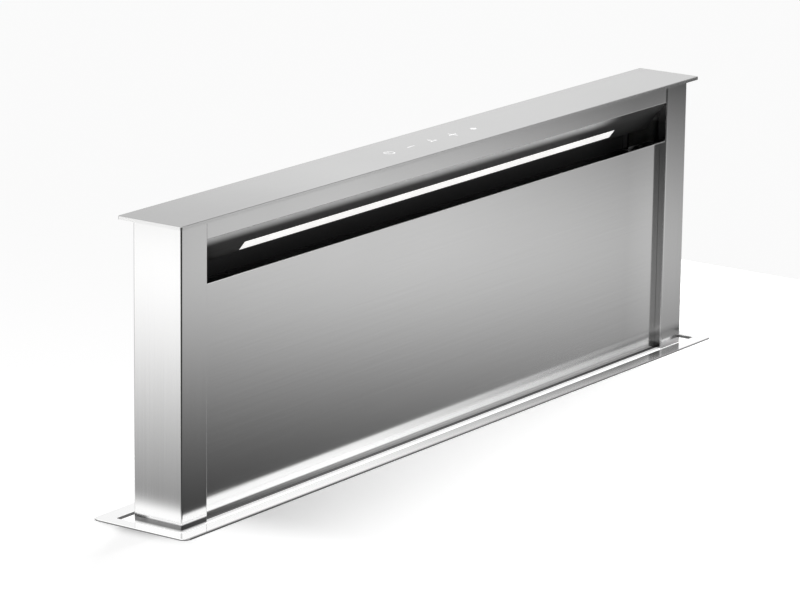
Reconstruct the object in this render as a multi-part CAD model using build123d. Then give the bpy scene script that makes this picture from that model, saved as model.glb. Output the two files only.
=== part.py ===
from build123d import *
import math
import os

os.makedirs("parts", exist_ok=True)

# Retractable downdraft vent, drawn raised. Millimetres, +Z up, front towards -Y.
# Origin: centre of the trim flange, on its underside, which rests on the worktop.

# ---------------------------------------------------------------- driving sizes
# Tower: the slab that rises out of the worktop
tower_width = 865.0
tower_depth = 56.0
lid_top_height = 288.5
tower_below_worktop = 70.0
column_width = 38.5
panel_recess = 8.0
sill_lip = 12.0
bend_radius = 1.6
tower_sheet = 1.2
seam = 0.3

# Lid
lid_overhang_side = 10.0
lid_overhang_front = 8.0
lid_overhang_back = 10.0
lid_rim_height = 3.5
lid_sheet = 1.5
lid_rim_width = 5.5
lid_corner_radius = 2.0
lid_edge_break = 0.5

# Touch row in the lid
touch_pitch = 36.0
touch_size = 12.0
touch_line = 1.6
touch_board_length = 190.0
touch_board_depth = 24.0
touch_board_height = 4.0

# Intake slot, header and light bar
header_height = 20.7
header_return = 12.0
intake_height = 44.0
panel_flange_depth = 14.0
flange_notch_x = 342.0
flange_notch_width = 5.0
flange_notch_depth = 9.0
light_bar_setback = 2.0
light_bar_drop = 30.3
light_bar_reach = 23.5
light_bar_depth = 34.0
light_bar_top_gap = 6.0
light_bar_wall = 1.5
diffuser_length = 634.0
diffuser_start = 23.6
diffuser_width = 11.0
diffuser_thickness = 3.0
led_board_thickness = 1.6
led_count = 24

# Grease filters behind the front panel
filter_height = 150.0
filter_thickness = 9.0
filter_border = 9.0
filter_mesh_sink = 2.0
filter_panel_gap = 1.5
filter_tilt = 12.0
filter_foot_height = 62.0
filter_play = 1.0
shelf_lip = 8.0
handle_width = 60.0
handle_strap = 3.0

# Trim frame set into the worktop
frame_reach_side = 26.0
frame_reach_front = 25.5
frame_reach_back = 29.5
frame_corner_radius = 8.0
frame_sheet = 1.5
rebate_depth = 3.6
rebate_gap = 2.2
rebate_corner_radius = 3.0
neck_gap = 1.3
neck_depth = 21.4
seat_clearance = 0.3
seal_clearance = 0.4
seal_wrap = 1.5
seal_height = 17.0

# Casing under the worktop
casing_width = 886.0
casing_depth = 80.0
casing_sheet = 1.2
casing_flange = 14.0
bead_length = 620.0
bead_width = 14.0
bead_lift = 3.0
bead_pitch = 100.0
bead_first_depth = 90.0
bead_count = 3
screw_head_radius = 4.0
screw_head_height = 2.4
screw_row_inset = 30.0
casing_screw_count = 6

# Guide posts and lift drive
post_radius = 8.0
post_wall = 2.0
post_foot_half = 15.0
post_foot_height = 5.0
post_top_depth = 31.0
bush_wall = 2.0
bush_fit = 0.05
boss_wall = 2.5
boss_height = 38.0
base_plate_thickness = 2.5
base_window_count = 3
base_window_rib = 30.0
base_window_depth = 30.0
base_lip = 12.0
trip_reach = 2.6
gear_module = 2.0
pinion_teeth = 18
pinion_face = 8.0
rack_face = 9.0
rack_back = 8.0
rack_gap = 1.5
rack_pitch_y = -2.0
rack_head = 8.0
rack_tail = 16.5
rack_floor_gap = 11.7
tooth_backlash = 0.3
drive_gap = 43.2
shaft_radius = 5.0
shaft_fit = 0.05
beam_drop = 20.0
beam_height = 20.0
beam_depth = 30.0
beam_wall = 2.0
clamp_wall = 2.5
clamp_split = 1.5
bearing_width = 12.0
bearing_half = 11.0
bearing_gap = 2.0
gearbox_length = 50.0
gearbox_height = 44.0
gearbox_wall = 9.0
gearbox_x = 200.0
motor_radius = 19.0
motor_length = 105.0
motor_gap = 1.0
motor_nose = 5.0

# Blower, hung on the casing's front
blower_x = -60.0
blower_rise = 155.0
blower_depth = 164.0
blower_sheet = 1.5
inlet_radius = 78.0
inlet_lip = 9.0
inlet_flare = 4.0
scroll_radius = 128.0
scroll_growth = 16.0
tongue_radius = 8.0
tongue_rise = 18.0
outlet_reach = 190.0
impeller_radius = 98.0
impeller_length = 96.0
impeller_eye_radius = 80.0
impeller_gap = 8.0
blade_count = 24
blade_thickness = 1.2
blade_angle = 32.0
fan_motor_radius = 52.0
fan_motor_length = 46.0
fan_motor_stand_out = 12.0
fan_plate_width = 124.0
fan_plate_sheet = 2.5
fan_shaft_radius = 4.0
fan_shaft_seat = 29.0
fan_hub_radius = 14.0
fan_hub_length = 24.0
collar_radius = 74.5
collar_wall = 1.5
collar_length = 55.0
collar_plate = 2.0
flap_thickness = 1.0
flap_clearance = 1.0
flap_pin_radius = 2.0
flap_knuckle_radius = 3.6
flap_pin_x = 20.0

# Electrics, clamps and brackets
box_width = 150.0
box_height = 130.0
box_depth = 46.0
box_wall = 2.0
box_centre_x = -330.0
box_rise = 175.0
box_corner = 4.0
gland_radius = 7.0
gland_bore = 4.5
gland_nut = 10.5
gland_length = 16.0
terminal_poles = 5
terminal_pitch = 9.0
terminal_height = 22.0
terminal_depth = 18.0
terminal_lift = 30.0
terminal_slot = 5.0
switch_thickness = 6.0
switch_height = 20.0
switch_width = 20.0
switch_lever = 3.0
worktop_thickness = 40.0
bracket_width = 40.0
bracket_sheet = 3.0
bracket_leg = 28.0
bracket_gap = 9.0
clamp_screw_radius = 2.5
clamp_screw_tail = 12.0
clamp_pad_half = 7.0
clamp_pad_height = 2.0
clamp_nut_radius = 4.5
clamp_nut_height = 4.0
foot_length = 60.0
foot_leg = 30.0
foot_hole_radius = 2.75
foot_hole_pitch = 40.0

# ---------------------------------------------------------------- derived places
tower_y = (frame_reach_front - frame_reach_back) / 2
tower_front = tower_y - tower_depth / 2
tower_back = tower_y + tower_depth / 2
tower_half = tower_width / 2
tower_bottom = -tower_below_worktop
panel_half = tower_half - column_width
panel_front = tower_front + panel_recess
column_top = lid_top_height - lid_sheet
lid_underside = lid_top_height - lid_rim_height
header_bottom = column_top - header_height
panel_top = header_bottom - intake_height

flange_top = frame_sheet
ledge_top = flange_top - rebate_depth
ledge_underside = ledge_top - frame_sheet
neck_bottom = ledge_underside - neck_depth
lift_stroke = lid_underside - ledge_top - seat_clearance

casing_half = casing_width / 2
casing_front_y = -casing_depth / 2
casing_back_y = casing_depth / 2

boss_half = post_radius + bush_wall + boss_wall
post_x = tower_half - tower_sheet - seam - boss_half
post_y = tower_front + tower_sheet + seam + boss_half
rack_x = post_x - boss_half - rack_gap - rack_face / 2
pinion_radius = gear_module * pinion_teeth / 2
shaft_y = rack_pitch_y + pinion_radius
shaft_z = tower_bottom - lift_stroke - drive_gap
rack_low = shaft_z - rack_tail
casing_bottom = rack_low - lift_stroke - rack_floor_gap
beam_top = shaft_z - beam_drop
beam_low = beam_top - beam_height
clamp_inner_x = rack_x + rack_face / 2 + rack_gap

scroll_back = casing_front_y
scroll_front = casing_front_y - blower_depth
blower_z = casing_bottom + blower_rise
scroll_top = blower_z + scroll_growth / 2 + scroll_radius + 2 * scroll_growth
outlet_low = blower_z + tongue_rise
outlet_x = blower_x + outlet_reach
collar_y = (scroll_back + scroll_front) / 2
collar_z = (scroll_top + outlet_low) / 2
pin_x = outlet_x + flap_pin_x


# ---------------------------------------------------------------- helpers
def block(x0, x1, y0, y1, z0, z1):
    centre = Pos((x0 + x1) / 2, (y0 + y1) / 2, (z0 + z1) / 2)
    return centre * Box(x1 - x0, y1 - y0, z1 - z0)


def slab(x0, x1, y0, y1, z0, z1, radius):
    """A block with its four upright corners rounded, or square where the radius is 0."""
    if radius == 0:
        return block(x0, x1, y0, y1, z0, z1)
    outline = RectangleRounded(x1 - x0, y1 - y0, radius)
    return Pos((x0 + x1) / 2, (y0 + y1) / 2, z0) * extrude(outline, z1 - z0)


def around_tower(gap, z0, z1, radius):
    """A slab that leaves the same gap on all four sides of the tower."""
    return slab(
        -tower_half - gap, tower_half + gap, tower_front - gap, tower_back + gap, z0, z1, radius
    )


def around_lid(gap, z0, z1, radius):
    """A slab that leaves the same gap on all four sides of the lid."""
    return slab(
        -tower_half - lid_overhang_side - gap, tower_half + lid_overhang_side + gap,
        tower_front - lid_overhang_front - gap, tower_back + lid_overhang_back + gap,
        z0, z1, radius,
    )


def square_block(x, y, z0, z1, half):
    """An upright block with a square section, centred on (x, y)."""
    return block(x - half, x + half, y - half, y + half, z0, z1)


def rod_x(x0, x1, y, z, radius):
    return Pos((x0 + x1) / 2, y, z) * Rot(0, 90, 0) * Cylinder(radius, x1 - x0)


def rod_y(y0, y1, x, z, radius):
    return Pos(x, (y0 + y1) / 2, z) * Rot(90, 0, 0) * Cylinder(radius, y1 - y0)


def rod_z(z0, z1, x, y, radius):
    return Pos(x, y, (z0 + z1) / 2) * Cylinder(radius, z1 - z0)


def extrude_x(points, x0, x1):
    """A prism along X from a closed outline of (y, z) points."""
    outline = make_face(Polyline([(0, y, z) for y, z in points], close=True))
    return Pos(x0, 0, 0) * extrude(outline, x1 - x0, dir=(1, 0, 0))


def mirrored(shape):
    return mirror(shape, about=Plane.YZ)


def save(name, *solids):
    shape = solids[0] if len(solids) == 1 else Compound(list(solids))
    export_step(shape, f"parts/{name}.step")


def save_pair(name, shape):
    """The piece as drawn is the right-hand one, and the left is its mirror image."""
    save(name + "_right", shape)
    save(name + "_left", mirrored(shape))


# ---------------------------------------------------------------- lid and touch row
def touch_mark(index):
    """One of five plain symbols, drawn about its own centre."""
    half = touch_size / 2
    if index == 0:
        ring = Circle(half) - Circle(half - touch_line)
        gap = Pos(0, half) * Rectangle(3 * touch_line, half)
        stem = Pos(0, half / 2) * Rectangle(touch_line, half)
        return ring - gap + stem
    if index == 1:
        return Rectangle(touch_size, touch_line)
    if index == 2:
        foot = touch_line / 2
        blade = make_face(Polyline([(0, foot), (half / 3, 0.6 * half), (0, half),
                                    (-half / 3, 0.6 * half)], close=True))
        return Sketch() + [Rot(0, 0, turn) * blade for turn in (0, 120, 240)]
    if index == 3:
        return Rectangle(touch_size, touch_line) + Rectangle(touch_line, touch_size)
    return Rot(0, 0, 45) * Rectangle(half, half)


def touch_marks(thickness):
    marks = []
    for index in range(5):
        place = Pos((index - 2) * touch_pitch, tower_y, lid_top_height - thickness)
        for face in touch_mark(index).faces():
            marks.append(place * extrude(face, thickness))
    return marks


def make_lid():
    lid = around_lid(0, lid_underside, lid_top_height, lid_corner_radius)
    lid = chamfer(lid.faces().sort_by(Axis.Z)[-1].edges(), lid_edge_break)
    lid -= around_lid(-lid_rim_width, lid_underside, column_top, 0)
    for mark in touch_marks(lid_sheet):
        lid -= mark
    return lid


def make_touch_board():
    half_depth = touch_board_depth / 2
    board = block(
        -touch_board_length / 2, touch_board_length / 2, tower_y - half_depth, tower_y + half_depth,
        column_top - touch_board_height, column_top - touch_board_height / 2,
    )
    for index in range(5):
        x = (index - 2) * touch_pitch
        board += block(x - touch_size / 2, x + touch_size / 2, tower_y - touch_size / 2,
                       tower_y + touch_size / 2, column_top - touch_board_height / 2, column_top)
    return board


save("lid", make_lid())
save("touch_marks", *touch_marks(lid_sheet))
save("touch_board", make_touch_board())


# ---------------------------------------------------------------- tower shell
def make_column():
    """Right-hand end column: a folded channel, open towards the middle of the tower."""
    outer = block(panel_half, tower_half, tower_front, tower_back, tower_bottom, column_top)
    upright = outer.edges().filter_by(Axis.Z)
    column = fillet(upright, bend_radius)
    column -= block(
        panel_half + tower_sheet, tower_half - tower_sheet,
        tower_front + tower_sheet, tower_back - tower_sheet, tower_bottom, column_top,
    )
    mouth_front = panel_front + tower_sheet + 2 * seam
    column -= block(
        panel_half, panel_half + tower_sheet, mouth_front, tower_back - panel_recess,
        tower_bottom, column_top,
    )
    return column


def make_header():
    """Folded strip that stands a little behind the columns' faces, against the light bar."""
    half = panel_half - seam
    front = bar_front - tower_sheet
    face = block(-half, half, front, bar_front, header_bottom, column_top)
    roof = block(
        -half, half, front, tower_front + header_return, column_top - tower_sheet, column_top
    )
    header = face + roof
    front_low = header.edges().filter_by(Axis.X).group_by(Axis.Z)[0].sort_by(Axis.Y)[0]
    return fillet(front_low, tower_sheet * 0.7)


bar_front = tower_front + light_bar_setback
bar_top = column_top - light_bar_top_gap
bar_back = bar_front + light_bar_depth
bar_low = header_bottom - light_bar_drop
slope_length = math.hypot(light_bar_reach, light_bar_drop)
slope_dir = (light_bar_reach / slope_length, -light_bar_drop / slope_length)
slope_in = (light_bar_drop / slope_length, light_bar_reach / slope_length)


def on_slope(along, inward):
    """A (y, z) point, measured down the bar's lit face and in behind it."""
    y = bar_front + along * slope_dir[0] + inward * slope_in[0]
    z = header_bottom + along * slope_dir[1] + inward * slope_in[1]
    return (y, z)


def slope_strip(along0, along1, inward0, inward1, half_length):
    corners = [
        on_slope(along0, inward0), on_slope(along1, inward0),
        on_slope(along1, inward1), on_slope(along0, inward1),
    ]
    return extrude_x(corners, -half_length, half_length)


def make_light_bar():
    half = panel_half - seam
    outer = [
        (bar_front, header_bottom), on_slope(slope_length, 0), (bar_back, bar_low),
        (bar_back, header_bottom), (tower_y, bar_top), (bar_front, bar_top),
    ]
    wall = light_bar_wall
    inner = [
        (bar_front + wall, header_bottom + wall / 2), on_slope(slope_length - wall, wall * 1.4),
        (bar_back - wall, bar_low + wall), (bar_back - wall, header_bottom - wall / 2),
        (tower_y - wall / 2, bar_top - wall), (bar_front + wall, bar_top - wall),
    ]
    bar = extrude_x(outer, -half, half) - extrude_x(inner, -half + wall, half - wall)
    window = slope_strip(
        diffuser_start, diffuser_start + diffuser_width, -1, light_bar_wall * 3, diffuser_length / 2
    )
    return bar - window


def make_diffuser():
    return slope_strip(
        diffuser_start, diffuser_start + diffuser_width, 0, diffuser_thickness, diffuser_length / 2
    )


def make_led_strip():
    start = diffuser_start + 1
    end = diffuser_start + diffuser_width - 1
    lift = diffuser_thickness + 1.2
    strip = slope_strip(start, end, lift, lift + led_board_thickness, diffuser_length / 2)
    spacing = diffuser_length / led_count
    middle = (start + end) / 2
    chip = slope_strip(middle - 1.5, middle + 1.5, diffuser_thickness, lift, 1.5)
    for index in range(led_count):
        strip += Pos((index + 0.5) * spacing - diffuser_length / 2, 0, 0) * chip
    return strip


def make_front_panel():
    half = panel_half - seam
    back = panel_front + tower_sheet
    panel = block(-half, half, panel_front, back, tower_bottom, panel_top)
    flange = block(
        -half, half, panel_front, panel_front + panel_flange_depth, panel_top - tower_sheet, panel_top
    )
    flange_back = panel_front + panel_flange_depth
    for side in (-1, 1):
        flange -= block(
            side * flange_notch_x - flange_notch_width / 2,
            side * flange_notch_x + flange_notch_width / 2,
            flange_back - flange_notch_depth, flange_back, panel_top - tower_sheet, panel_top,
        )
    panel += flange
    top_edge = panel.edges().filter_by(Axis.X).group_by(Axis.Z)[-1].sort_by(Axis.Y)[0]
    return fillet(top_edge, tower_sheet * 0.7)


def make_foot_sill():
    """Folded strip that closes the recess at the panel's foot, level with the frame's ledge."""
    half = panel_half - seam
    shelf = block(-half, half, tower_front, panel_front, ledge_top - tower_sheet, ledge_top)
    return shelf + block(
        -half, half, tower_front, tower_front + tower_sheet, ledge_top - sill_lip, ledge_top
    )


def make_rear_panel():
    half = panel_half - seam
    inner = tower_back - tower_sheet
    panel = block(-half, half, inner, tower_back, tower_bottom, column_top)
    for side in (-1, 1):
        edge = side * (half - tower_sheet / 2)
        panel += block(
            edge - tower_sheet / 2, edge + tower_sheet / 2, tower_back - panel_recess, tower_back,
            tower_bottom, column_top,
        )
    panel += block(
        -half, half, tower_back - header_return, tower_back, column_top - tower_sheet, column_top
    )
    return panel


def make_panel_clips():
    """Four spring clips that hold the front panel's edge to the columns."""
    clips = []
    back = panel_front + tower_sheet
    for side in (-1, 1):
        for height in (panel_top - 3 * intake_height / 2, filter_foot_height / 2):
            x_inner = side * (panel_half - 14)
            x_outer = side * (panel_half + tower_sheet + 8)
            clip = block(min(x_inner, x_outer), max(x_inner, x_outer), back, back + 2 * seam + 1,
                         height - 9, height + 9)
            if side > 0:
                clip -= block(panel_half, panel_half + tower_sheet, back, back + 2 * seam,
                              height - 9, height + 9)
            else:
                clip -= block(-panel_half - tower_sheet, -panel_half, back, back + 2 * seam,
                              height - 9, height + 9)
            clips.append(clip)
    return clips


save_pair("column", make_column())
save("header_fascia", make_header())
save("light_bar", make_light_bar())
save("led_diffuser", make_diffuser())
save("led_strip", make_led_strip())
save("front_panel", make_front_panel())
save("foot_sill", make_foot_sill())
save("rear_panel", make_rear_panel())
save("panel_clips", *make_panel_clips())

# ---------------------------------------------------------------- filters and air way
filter_front = panel_front + tower_sheet + filter_panel_gap
filter_half = panel_half - 6.0
lean = Pos(0, filter_front, filter_foot_height) * Rot(-filter_tilt, 0, 0)
tilt = math.radians(filter_tilt)
filter_top = filter_foot_height + filter_height * math.cos(tilt)
filter_top_front = filter_front + filter_height * math.sin(tilt)


def make_filter():
    """Right-hand grease filter: an edge frame round a thinner pack of mesh. It leans back."""
    x0 = filter_play
    x1 = filter_half
    pack = block(x0, x1, 0, filter_thickness, 0, filter_height)
    for y0, y1 in ((0, filter_mesh_sink), (filter_thickness - filter_mesh_sink, filter_thickness)):
        pack -= block(x0 + filter_border, x1 - filter_border, y0, y1, filter_border,
                      filter_height - filter_border)
    return lean * pack


def make_filter_handle(centre_x):
    """A flat strap loop that hangs on the filter's upper border."""
    low = filter_height - filter_border - 3 * handle_strap
    high = filter_height - filter_border / 2
    half = handle_width / 2
    loop = block(centre_x - half, centre_x + half, -filter_panel_gap, 0, low, high)
    return lean * (loop - block(centre_x - half + handle_strap, centre_x + half - handle_strap,
                                -filter_panel_gap, 0, low + handle_strap, high))


def make_filter_shelf():
    """Channel that carries the filters' feet and closes the gap under them."""
    half = panel_half - 2.0
    front = panel_front + tower_sheet
    back = filter_front + filter_thickness / math.cos(tilt) + shelf_lip * math.tan(tilt) + seam
    low = filter_foot_height - filter_thickness * math.sin(tilt) - tower_sheet
    top = low + tower_sheet
    shelf = block(-half, half, front, back + tower_sheet, low, top)
    shelf += block(-half, half, back, back + tower_sheet, low, top + shelf_lip)
    shelf += block(-half, half, front, front + tower_sheet, low - shelf_lip, top)
    return shelf


def make_baffle():
    """Black liner behind the intake slot; its lip shuts the gap over the filters."""
    half = panel_half - 2.0
    back = tower_back - tower_sheet
    high = column_top - tower_sheet - seam
    low = filter_top + seam
    liner = block(-half, half, back - tower_sheet, back, low, high)
    lip = block(-half, half, filter_top_front, back, low, low + tower_sheet)
    return liner + lip


save_pair("grease_filter", make_filter())
save("filter_handles", make_filter_handle(filter_half / 2), make_filter_handle(-filter_half / 2))
save("filter_shelf", make_filter_shelf())
save("baffle_plate", make_baffle())


# ---------------------------------------------------------------- tower base and racks
base_half = tower_half - tower_sheet - seam
base_front = tower_front + tower_sheet + seam
base_back = tower_back - tower_sheet - seam
base_top = tower_bottom + base_plate_thickness
base_plate_front = panel_front + tower_sheet


def make_tower_base():
    """Plate across the tower's foot: air windows, bosses for the bushes, seats for the racks."""
    middle_half = panel_half - tower_sheet - 2 * seam
    plate = block(-middle_half, middle_half, base_plate_front, base_back, tower_bottom, base_top)
    mouth_front = base_plate_front + 3 * seam
    mouth_back = tower_back - panel_recess - seam
    plate += block(-base_half, base_half, mouth_front, mouth_back, tower_bottom, base_top)
    column_in = panel_half + tower_sheet + seam
    for side in (-1, 1):
        near, far = sorted((side * column_in, side * base_half))
        plate += block(near, far, base_front, base_back, tower_bottom, base_top)
        top = tower_bottom + boss_height
        plate += square_block(side * post_x, post_y, tower_bottom, top, boss_half)
        plate -= square_block(side * post_x, post_y, tower_bottom, top, post_radius + bush_wall)
        plate -= block(
            side * rack_x - rack_face / 2, side * rack_x + rack_face / 2,
            rack_pitch_y - rack_back - 2 * gear_module, rack_pitch_y + 2 * gear_module,
            tower_bottom, base_top,
        )
    span = 2 * (rack_x - rack_face / 2 - base_window_rib)
    window = (span - (base_window_count - 1) * base_window_rib) / base_window_count
    middle = (base_plate_front + base_back) / 2
    for index in range(base_window_count):
        start = -span / 2 + index * (window + base_window_rib)
        plate -= block(start, start + window, middle - base_window_depth / 2,
                       middle + base_window_depth / 2, tower_bottom, base_top)
    for y in (base_plate_front, base_back - tower_sheet):
        plate += block(-middle_half, middle_half, y, y + tower_sheet, base_top, base_top + base_lip)
    trip = block(-tower_half - trip_reach, -base_half + boss_half, -trip_reach, trip_reach,
                 tower_bottom - base_plate_thickness, tower_bottom)
    return plate + trip


def make_bush(side):
    """Square slide block in the boss, bored to run on its post."""
    top = tower_bottom + boss_height
    sleeve = square_block(side * post_x, post_y, tower_bottom, top, post_radius + bush_wall)
    return sleeve - rod_z(tower_bottom, top, side * post_x, post_y, post_radius + bush_fit)


tooth_pitch = math.pi * gear_module
pressure = math.radians(20)
rack_high = base_top


def make_rack():
    """Right-hand rack: straight-sided teeth towards +Y, with a tooth centred level with the shaft."""
    half_top = tooth_pitch / 4 - gear_module * math.tan(pressure) - tooth_backlash / 4
    half_root = tooth_pitch / 4 + 1.25 * gear_module * math.tan(pressure) - tooth_backlash / 4
    root = rack_pitch_y - 1.25 * gear_module
    tip = rack_pitch_y + gear_module
    back = rack_pitch_y - rack_back - 1.25 * gear_module
    first = math.ceil((rack_low - shaft_z) / tooth_pitch + 0.5)
    last = math.floor((rack_high - 2 * gear_module - shaft_z) / tooth_pitch - 0.5)
    points = [(back, rack_low), (root, rack_low)]
    for index in range(first, last + 1):
        level = shaft_z + index * tooth_pitch
        points += [(root, level - half_root), (tip, level - half_top),
                   (tip, level + half_top), (root, level + half_root)]
    points += [(root, rack_high), (back, rack_high)]
    toothed = extrude_x(points, rack_x - rack_face / 2, rack_x + rack_face / 2)
    head = block(rack_x - rack_face, rack_x + rack_face / 2, back - 3, root + 5, rack_high,
                 rack_high + rack_head)
    return toothed + head


save("tower_base", make_tower_base())
save("guide_bushes", make_bush(-1), make_bush(1))
save_pair("lift_rack", make_rack())


# ---------------------------------------------------------------- drive shaft and pinions
def involute_point(base, radius):
    """Polar angle of the involute at a radius."""
    roll = math.sqrt((radius / base) ** 2 - 1)
    return roll - math.atan(roll)


def make_pinion(x_middle):
    base = pinion_radius * math.cos(pressure)
    tip = pinion_radius + gear_module
    root = pinion_radius - 1.25 * gear_module
    flank = (max(base, root), pinion_radius, tip)
    half_at_pitch = math.pi / (2 * pinion_teeth) - tooth_backlash / (4 * pinion_radius)
    offset = half_at_pitch + involute_point(base, pinion_radius)
    corners = []
    for tooth in range(pinion_teeth):
        # a gap between two teeth faces the rack, which has a tooth level with the shaft
        middle = math.pi + (tooth + 0.5) * 2 * math.pi / pinion_teeth
        half = [offset - involute_point(base, radius) for radius in flank]
        corners.append((root, middle - half[0]))
        corners += [(radius, middle - width) for radius, width in zip(flank, half)]
        corners += [(radius, middle + width) for radius, width in zip(flank[::-1], half[::-1])]
        corners.append((root, middle + half[0]))
    points = [(shaft_y + r * math.cos(a), shaft_z + r * math.sin(a)) for r, a in corners]
    gear = extrude_x(points, x_middle - pinion_face / 2, x_middle + pinion_face / 2)
    hub = Plane(origin=(x_middle - pinion_face, shaft_y, shaft_z), z_dir=(1, 0, 0))
    gear += hub * extrude(RegularPolygon(0.75 * pinion_radius, 6), pinion_face)
    return gear - rod_x(x_middle - pinion_face, x_middle + pinion_face / 2, shaft_y, shaft_z,
                        shaft_radius)


bearing_x0 = clamp_inner_x + bearing_gap
save("sync_shaft", rod_x(-bearing_x0 - bearing_width, bearing_x0 + bearing_width, shaft_y, shaft_z,
                         shaft_radius))
save_pair("pinion", make_pinion(rack_x))


# ---------------------------------------------------------------- trim frame and seal
def make_trim_frame():
    """Polished flange, a rebate that the lid sinks into, and a neck down round the tower."""
    flange = slab(
        -tower_half - frame_reach_side, tower_half + frame_reach_side,
        tower_front - frame_reach_front, tower_back + frame_reach_back,
        0, flange_top, frame_corner_radius,
    )
    flange = chamfer(flange.faces().sort_by(Axis.Z)[-1].edges(), lid_edge_break)
    frame = flange + around_lid(rebate_gap + frame_sheet, ledge_underside, 0, 0)
    frame -= around_lid(rebate_gap, ledge_top, flange_top, rebate_corner_radius)
    frame += around_tower(neck_gap + frame_sheet, neck_bottom, ledge_underside, 0)
    frame -= around_tower(neck_gap, neck_bottom, flange_top, bend_radius + neck_gap)
    return frame


def make_wiper_seal():
    """Rubber profile pushed over the neck's lower edge, with its lip close to the tower."""
    neck_outer = neck_gap + frame_sheet
    foot = neck_bottom - seal_wrap
    seal = around_tower(neck_outer + seal_wrap, foot, neck_bottom + seal_height / 2, 0)
    seal -= around_tower(neck_outer, neck_bottom, neck_bottom + seal_height / 2, 0)
    seal += around_tower(neck_gap, neck_bottom, neck_bottom + seal_height, bend_radius + neck_gap)
    return seal - around_tower(seal_clearance, foot, neck_bottom + seal_height,
                               bend_radius + seal_clearance)


save("trim_frame", make_trim_frame())
save("wiper_seal", make_wiper_seal())


# ---------------------------------------------------------------- casing
def pressed_beads(face_y, outward, count):
    """Stiffening beads with sloped flanks, pressed outwards in a casing wall."""
    beads = []
    for index in range(count):
        level = -bead_first_depth - index * bead_pitch
        foot = Plane(origin=(0, face_y, level), x_dir=(1, 0, 0), z_dir=(0, outward, 0))
        beads.append(extrude(foot * Rectangle(bead_length, bead_width), bead_lift, taper=45))
    return beads


def make_casing_front():
    wall = block(-casing_half, casing_half, casing_front_y, casing_front_y + casing_sheet,
                 casing_bottom, ledge_underside)
    wall -= rod_y(casing_front_y, casing_front_y + casing_sheet, blower_x, blower_z,
                  inlet_radius + 2 * casing_sheet)
    return wall + pressed_beads(casing_front_y, -1, bead_count)


def make_casing_rear():
    wall = block(-casing_half, casing_half, casing_back_y - casing_sheet, casing_back_y,
                 casing_bottom, ledge_underside)
    return wall + pressed_beads(casing_back_y, 1, 2 * bead_count)


def make_casing_end():
    """Right-hand end: a wall with a flange folded in along each upright edge."""
    inner_front = casing_front_y + casing_sheet
    inner_back = casing_back_y - casing_sheet
    low = casing_bottom + casing_sheet
    end = block(casing_half - casing_sheet, casing_half, inner_front, inner_back, low,
                ledge_underside)
    for y in (inner_front, inner_back - casing_sheet):
        end += block(casing_half - casing_flange, casing_half, y, y + casing_sheet, low,
                     neck_bottom - seal_wrap)
    return end


def make_casing_floor():
    inner_front = casing_front_y + casing_sheet
    inner_back = casing_back_y - casing_sheet
    half = casing_half - casing_flange - seam
    top = casing_bottom + casing_sheet
    floor = block(-casing_half, casing_half, inner_front, inner_back, casing_bottom, top)
    for y in (inner_front, inner_back - casing_sheet):
        floor += block(-half, half, y, y + casing_sheet, casing_bottom, top + casing_flange)
    return floor


def hex_head(x, y, z, direction):
    """A six-sided screw head that stands out from a face; direction is the face's normal."""
    head = extrude(RegularPolygon(screw_head_radius, 6), screw_head_height)
    return Plane(origin=(x, y, z), z_dir=direction) * head


def make_casing_screws():
    heads = []
    high = neck_bottom - screw_row_inset
    step = (high - casing_bottom - screw_row_inset) / (casing_screw_count - 1)
    for side in (-1, 1):
        x = side * (casing_half - casing_flange / 2)
        for index in range(casing_screw_count):
            z = high - index * step
            heads.append(hex_head(x, casing_front_y, z, (0, -1, 0)))
            heads.append(hex_head(x, casing_back_y, z, (0, 1, 0)))
    return heads


save("casing_front", make_casing_front())
save("casing_rear", make_casing_rear())
save_pair("casing_end", make_casing_end())
save("casing_floor", make_casing_floor())
save("casing_screws", *make_casing_screws())


# ---------------------------------------------------------------- posts, beam and drive
def make_post():
    floor = casing_bottom + casing_sheet
    top = -post_top_depth
    post = rod_z(floor, top, post_x, post_y, post_radius)
    post += square_block(post_x, post_y, floor, floor + post_foot_height, post_foot_half)
    return post - rod_z(floor + post_foot_height, top, post_x, post_y, post_radius - post_wall)


def make_post_clamp():
    """Block that holds the post half way up and carries the shaft's bearing."""
    front = post_y - post_radius - clamp_wall
    clamp = block(clamp_inner_x, casing_half - casing_sheet, front, shaft_y + beam_depth / 2,
                  beam_low, beam_top)
    clamp -= rod_z(beam_low, beam_top, post_x, post_y, post_radius)
    split = block(post_x - clamp_split / 2, post_x + clamp_split / 2, front, post_y, beam_low,
                  beam_top)
    return clamp - split


def make_beam():
    """Folded channel between the two clamps, open downwards."""
    y0 = shaft_y - beam_depth / 2
    y1 = shaft_y + beam_depth / 2
    beam = block(-clamp_inner_x, clamp_inner_x, y0, y1, beam_low, beam_top)
    beam -= block(-clamp_inner_x, clamp_inner_x, y0 + beam_wall, y1 - beam_wall, beam_low,
                  beam_top - beam_wall)
    rack_tip = rack_pitch_y + gear_module
    for side in (-1, 1):
        beam -= block(side * rack_x - rack_face, side * rack_x + rack_face,
                      rack_pitch_y - rack_back, rack_tip + 2 * rack_gap, beam_low, beam_top)
    return beam


def make_bearing():
    """Nylon pillow block on the beam, bored for the shaft."""
    x0 = bearing_x0
    x1 = bearing_x0 + bearing_width
    bearing = block(x0, x1, shaft_y - bearing_half, shaft_y + bearing_half, beam_top,
                    shaft_z + bearing_half)
    bearing = chamfer(bearing.edges().filter_by(Axis.X).group_by(Axis.Z)[-1], bearing_half / 2)
    return bearing - rod_x(x0, x1, shaft_y, shaft_z, shaft_radius + shaft_fit)


motor_y = shaft_y - shaft_radius - motor_gap - motor_radius


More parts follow.
